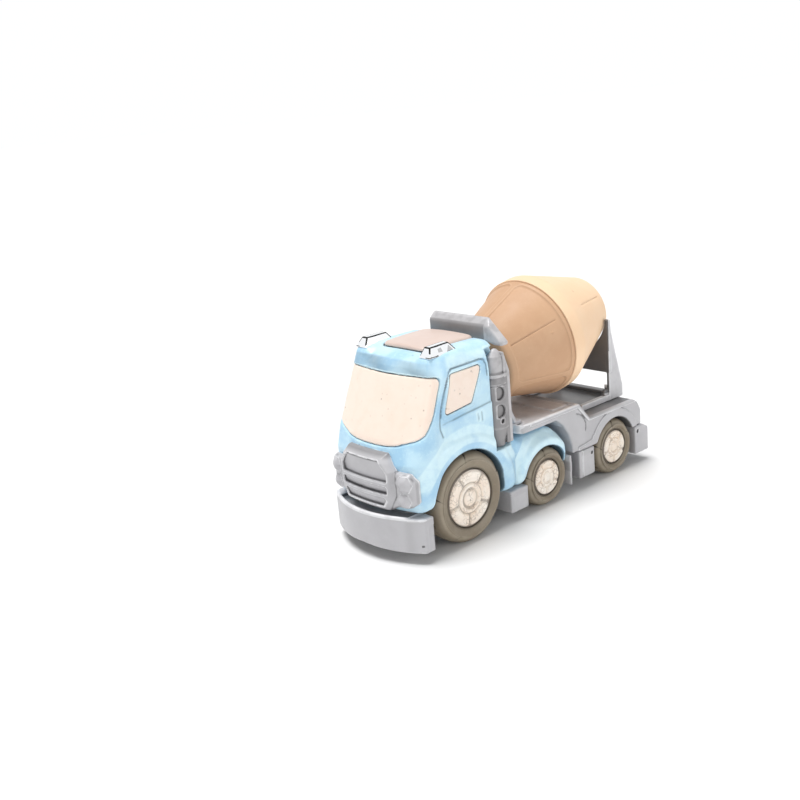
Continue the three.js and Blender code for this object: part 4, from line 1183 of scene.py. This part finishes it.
front_line = [(0.0, 3.4), (0.0, FRONT_DISC - 2.2), (0.5, FRONT_DISC - 0.8), (1.8, FRONT_DISC + 0.2)]
front_line += refine([(2.4, FRONT_DISC + 0.6), (SEAM - 0.3, SEAM_RADIUS - 0.1)], 0.55)
front_line += [(SEAM, SEAM_RADIUS - 0.4), (SEAM, SEAM_RADIUS - 2.2)]
front_line += [(4.2, FRONT_DISC - 2.0), (2.2, FRONT_DISC - 4.0), (2.2, 3.4)]
front_drum = turned("drum_cone_front", front_line, 480, DRUM_PLACE, front_shift)
finish(front_drum, TAN, "drum", "drum_front_shell")


def rear_shift(s, r, t):
    """The rear cone: one groove in line with each panel's."""
    cone = DRUM_RADIUS - TAPER * np.maximum(s - TAPER_START, 0)
    cut = cut_line(across_panel(r, t)[0], s, 92.5, 15.5) * ((r > cone - 1.2) & (s > 64))
    # The grooves also carry painted shade.
    return 0, -cut, 0.5 * cut, 0


rear_line = [(SEAM + 0.35, 45.2), (SEAM + 0.5, 45.9), (TAPER_START, DRUM_RADIUS)]
rear_line += [(115.4, 25.5), (116.3, 24.4), (116.3, 23.2)]
rear_line = refine(rounded(rear_line, 0.8), 0.9) + [(111.4, 23.0), (61.0, 43.8), (SEAM + 0.35, 43.8)]
rear_drum = turned("drum_cone_rear", rear_line, 480, DRUM_PLACE, rear_shift)
finish(rear_drum, SAND, "drum", "drum_rear_shell")


def cap_shift(s, r, t):
    """Six low spokes on the cap."""
    u = np.abs(angle_from(t, 0.0, 6)) * r
    spoke = fade(u, 0.9, 1.6) * band(r, 7.5, 8.5, 17.5, 18.5) * (s > 112)
    # The spokes carry a painted highlight.
    return 0.9 * spoke, 0, 0.0, 0.3 * spoke


cap_line = [(111.9, 0.0), (111.9, 22.4), (115.2, 22.5), (115.3, 20.2), (113.7, 19.2)]
cap_line += [(113.7, v) for v in np.linspace(18.8, 7.2, 30)] + [(115.2, 6.2), (115.4, 3.0), (115.5, 0.0)]
cap = turned("drum_mouth_cap", cap_line, 240, DRUM_PLACE, cap_shift)
finish(cap, SAND, "drum", "drum_rear_cap")

# ---- carried-over CAD nodes

for node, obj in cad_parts.items():
    if node.endswith("_axle") or "screw" in node or node == "drum_front_pin":
        recolour(obj, STEEL)
    elif node.startswith("kingpin"):
        recolour(obj, SMOKE)

# ---- stage

AMBIENT = 0.23  # how brightly the studio itself lights the truck
BACKDROP = 1.02  # how bright it looks to the camera and in reflections
bpy.ops.mesh.primitive_plane_add(size=80.0, location=(0, 0, 0))
floor = bpy.context.object
floor.name = "floor"
paper = Shade("floor")
paper.shader.inputs["Base Color"].default_value = (0.86, 0.86, 0.86, 1)
paper.shader.inputs["Roughness"].default_value = 0.9
recolour(floor, paper.material)

world = bpy.data.worlds.new("studio")
bpy.context.scene.world = world
studio = Tree(world)
backdrop = studio.nodes["Background"].inputs
backdrop["Color"].default_value = (0.98, 0.99, 1.0, 1)
rays = studio.nodes.new("ShaderNodeLightPath").outputs
seen = studio.maths("MAXIMUM", rays["Is Camera Ray"], rays["Is Glossy Ray"])
studio.join(studio.remap(seen, 0.0, 1.0, AMBIENT, BACKDROP, "LINEAR"), backdrop["Strength"])


def add_light(name, kind, place, target, energy, **settings):
    """A light at a place in metres, aimed at a target."""
    lamp = bpy.data.lights.new(name, kind)
    lamp.energy = energy
    for key, v in settings.items():
        setattr(lamp, key, v)
    obj = bpy.data.objects.new(name, lamp)
    obj.location = place
    obj.rotation_euler = (Vector(target) - Vector(place)).to_track_quat("-Z", "Y").to_euler()
    bpy.context.scene.collection.objects.link(obj)


MIDDLE = (0, 0, 0.07)
add_light("key", "SUN", (-0.18, -0.12, 1.0), (0, 0, 0), 3.2, angle=math.radians(34))
add_light("front", "AREA", (0.5, -1.1, 0.55), MIDDLE, 2.1, shape="RECTANGLE", size=0.7, size_y=0.5)
add_light("side", "AREA", (1.1, 0.25, 0.4), MIDDLE, 3.1, shape="RECTANGLE", size=0.7, size_y=0.4)

camera = bpy.data.cameras.new("camera")
camera.lens, camera.sensor_width = 45.22, 36.0
viewer = bpy.data.objects.new("camera", camera)
AZIMUTH, ELEVATION, ROLL = (math.radians(v) for v in (49.6532, 16.3261, -5.3333))
viewer.matrix_world = (
    Matrix.Translation((0.4964, -0.5082, 0.2891))
    @ Matrix.Rotation(AZIMUTH, 4, "Z")
    @ Matrix.Rotation(math.pi / 2 - ELEVATION, 4, "X")
    @ Matrix.Rotation(ROLL, 4, "Z")
)
bpy.context.scene.collection.objects.link(viewer)
bpy.context.scene.camera = viewer
bpy.context.scene.view_settings.view_transform = "Standard"
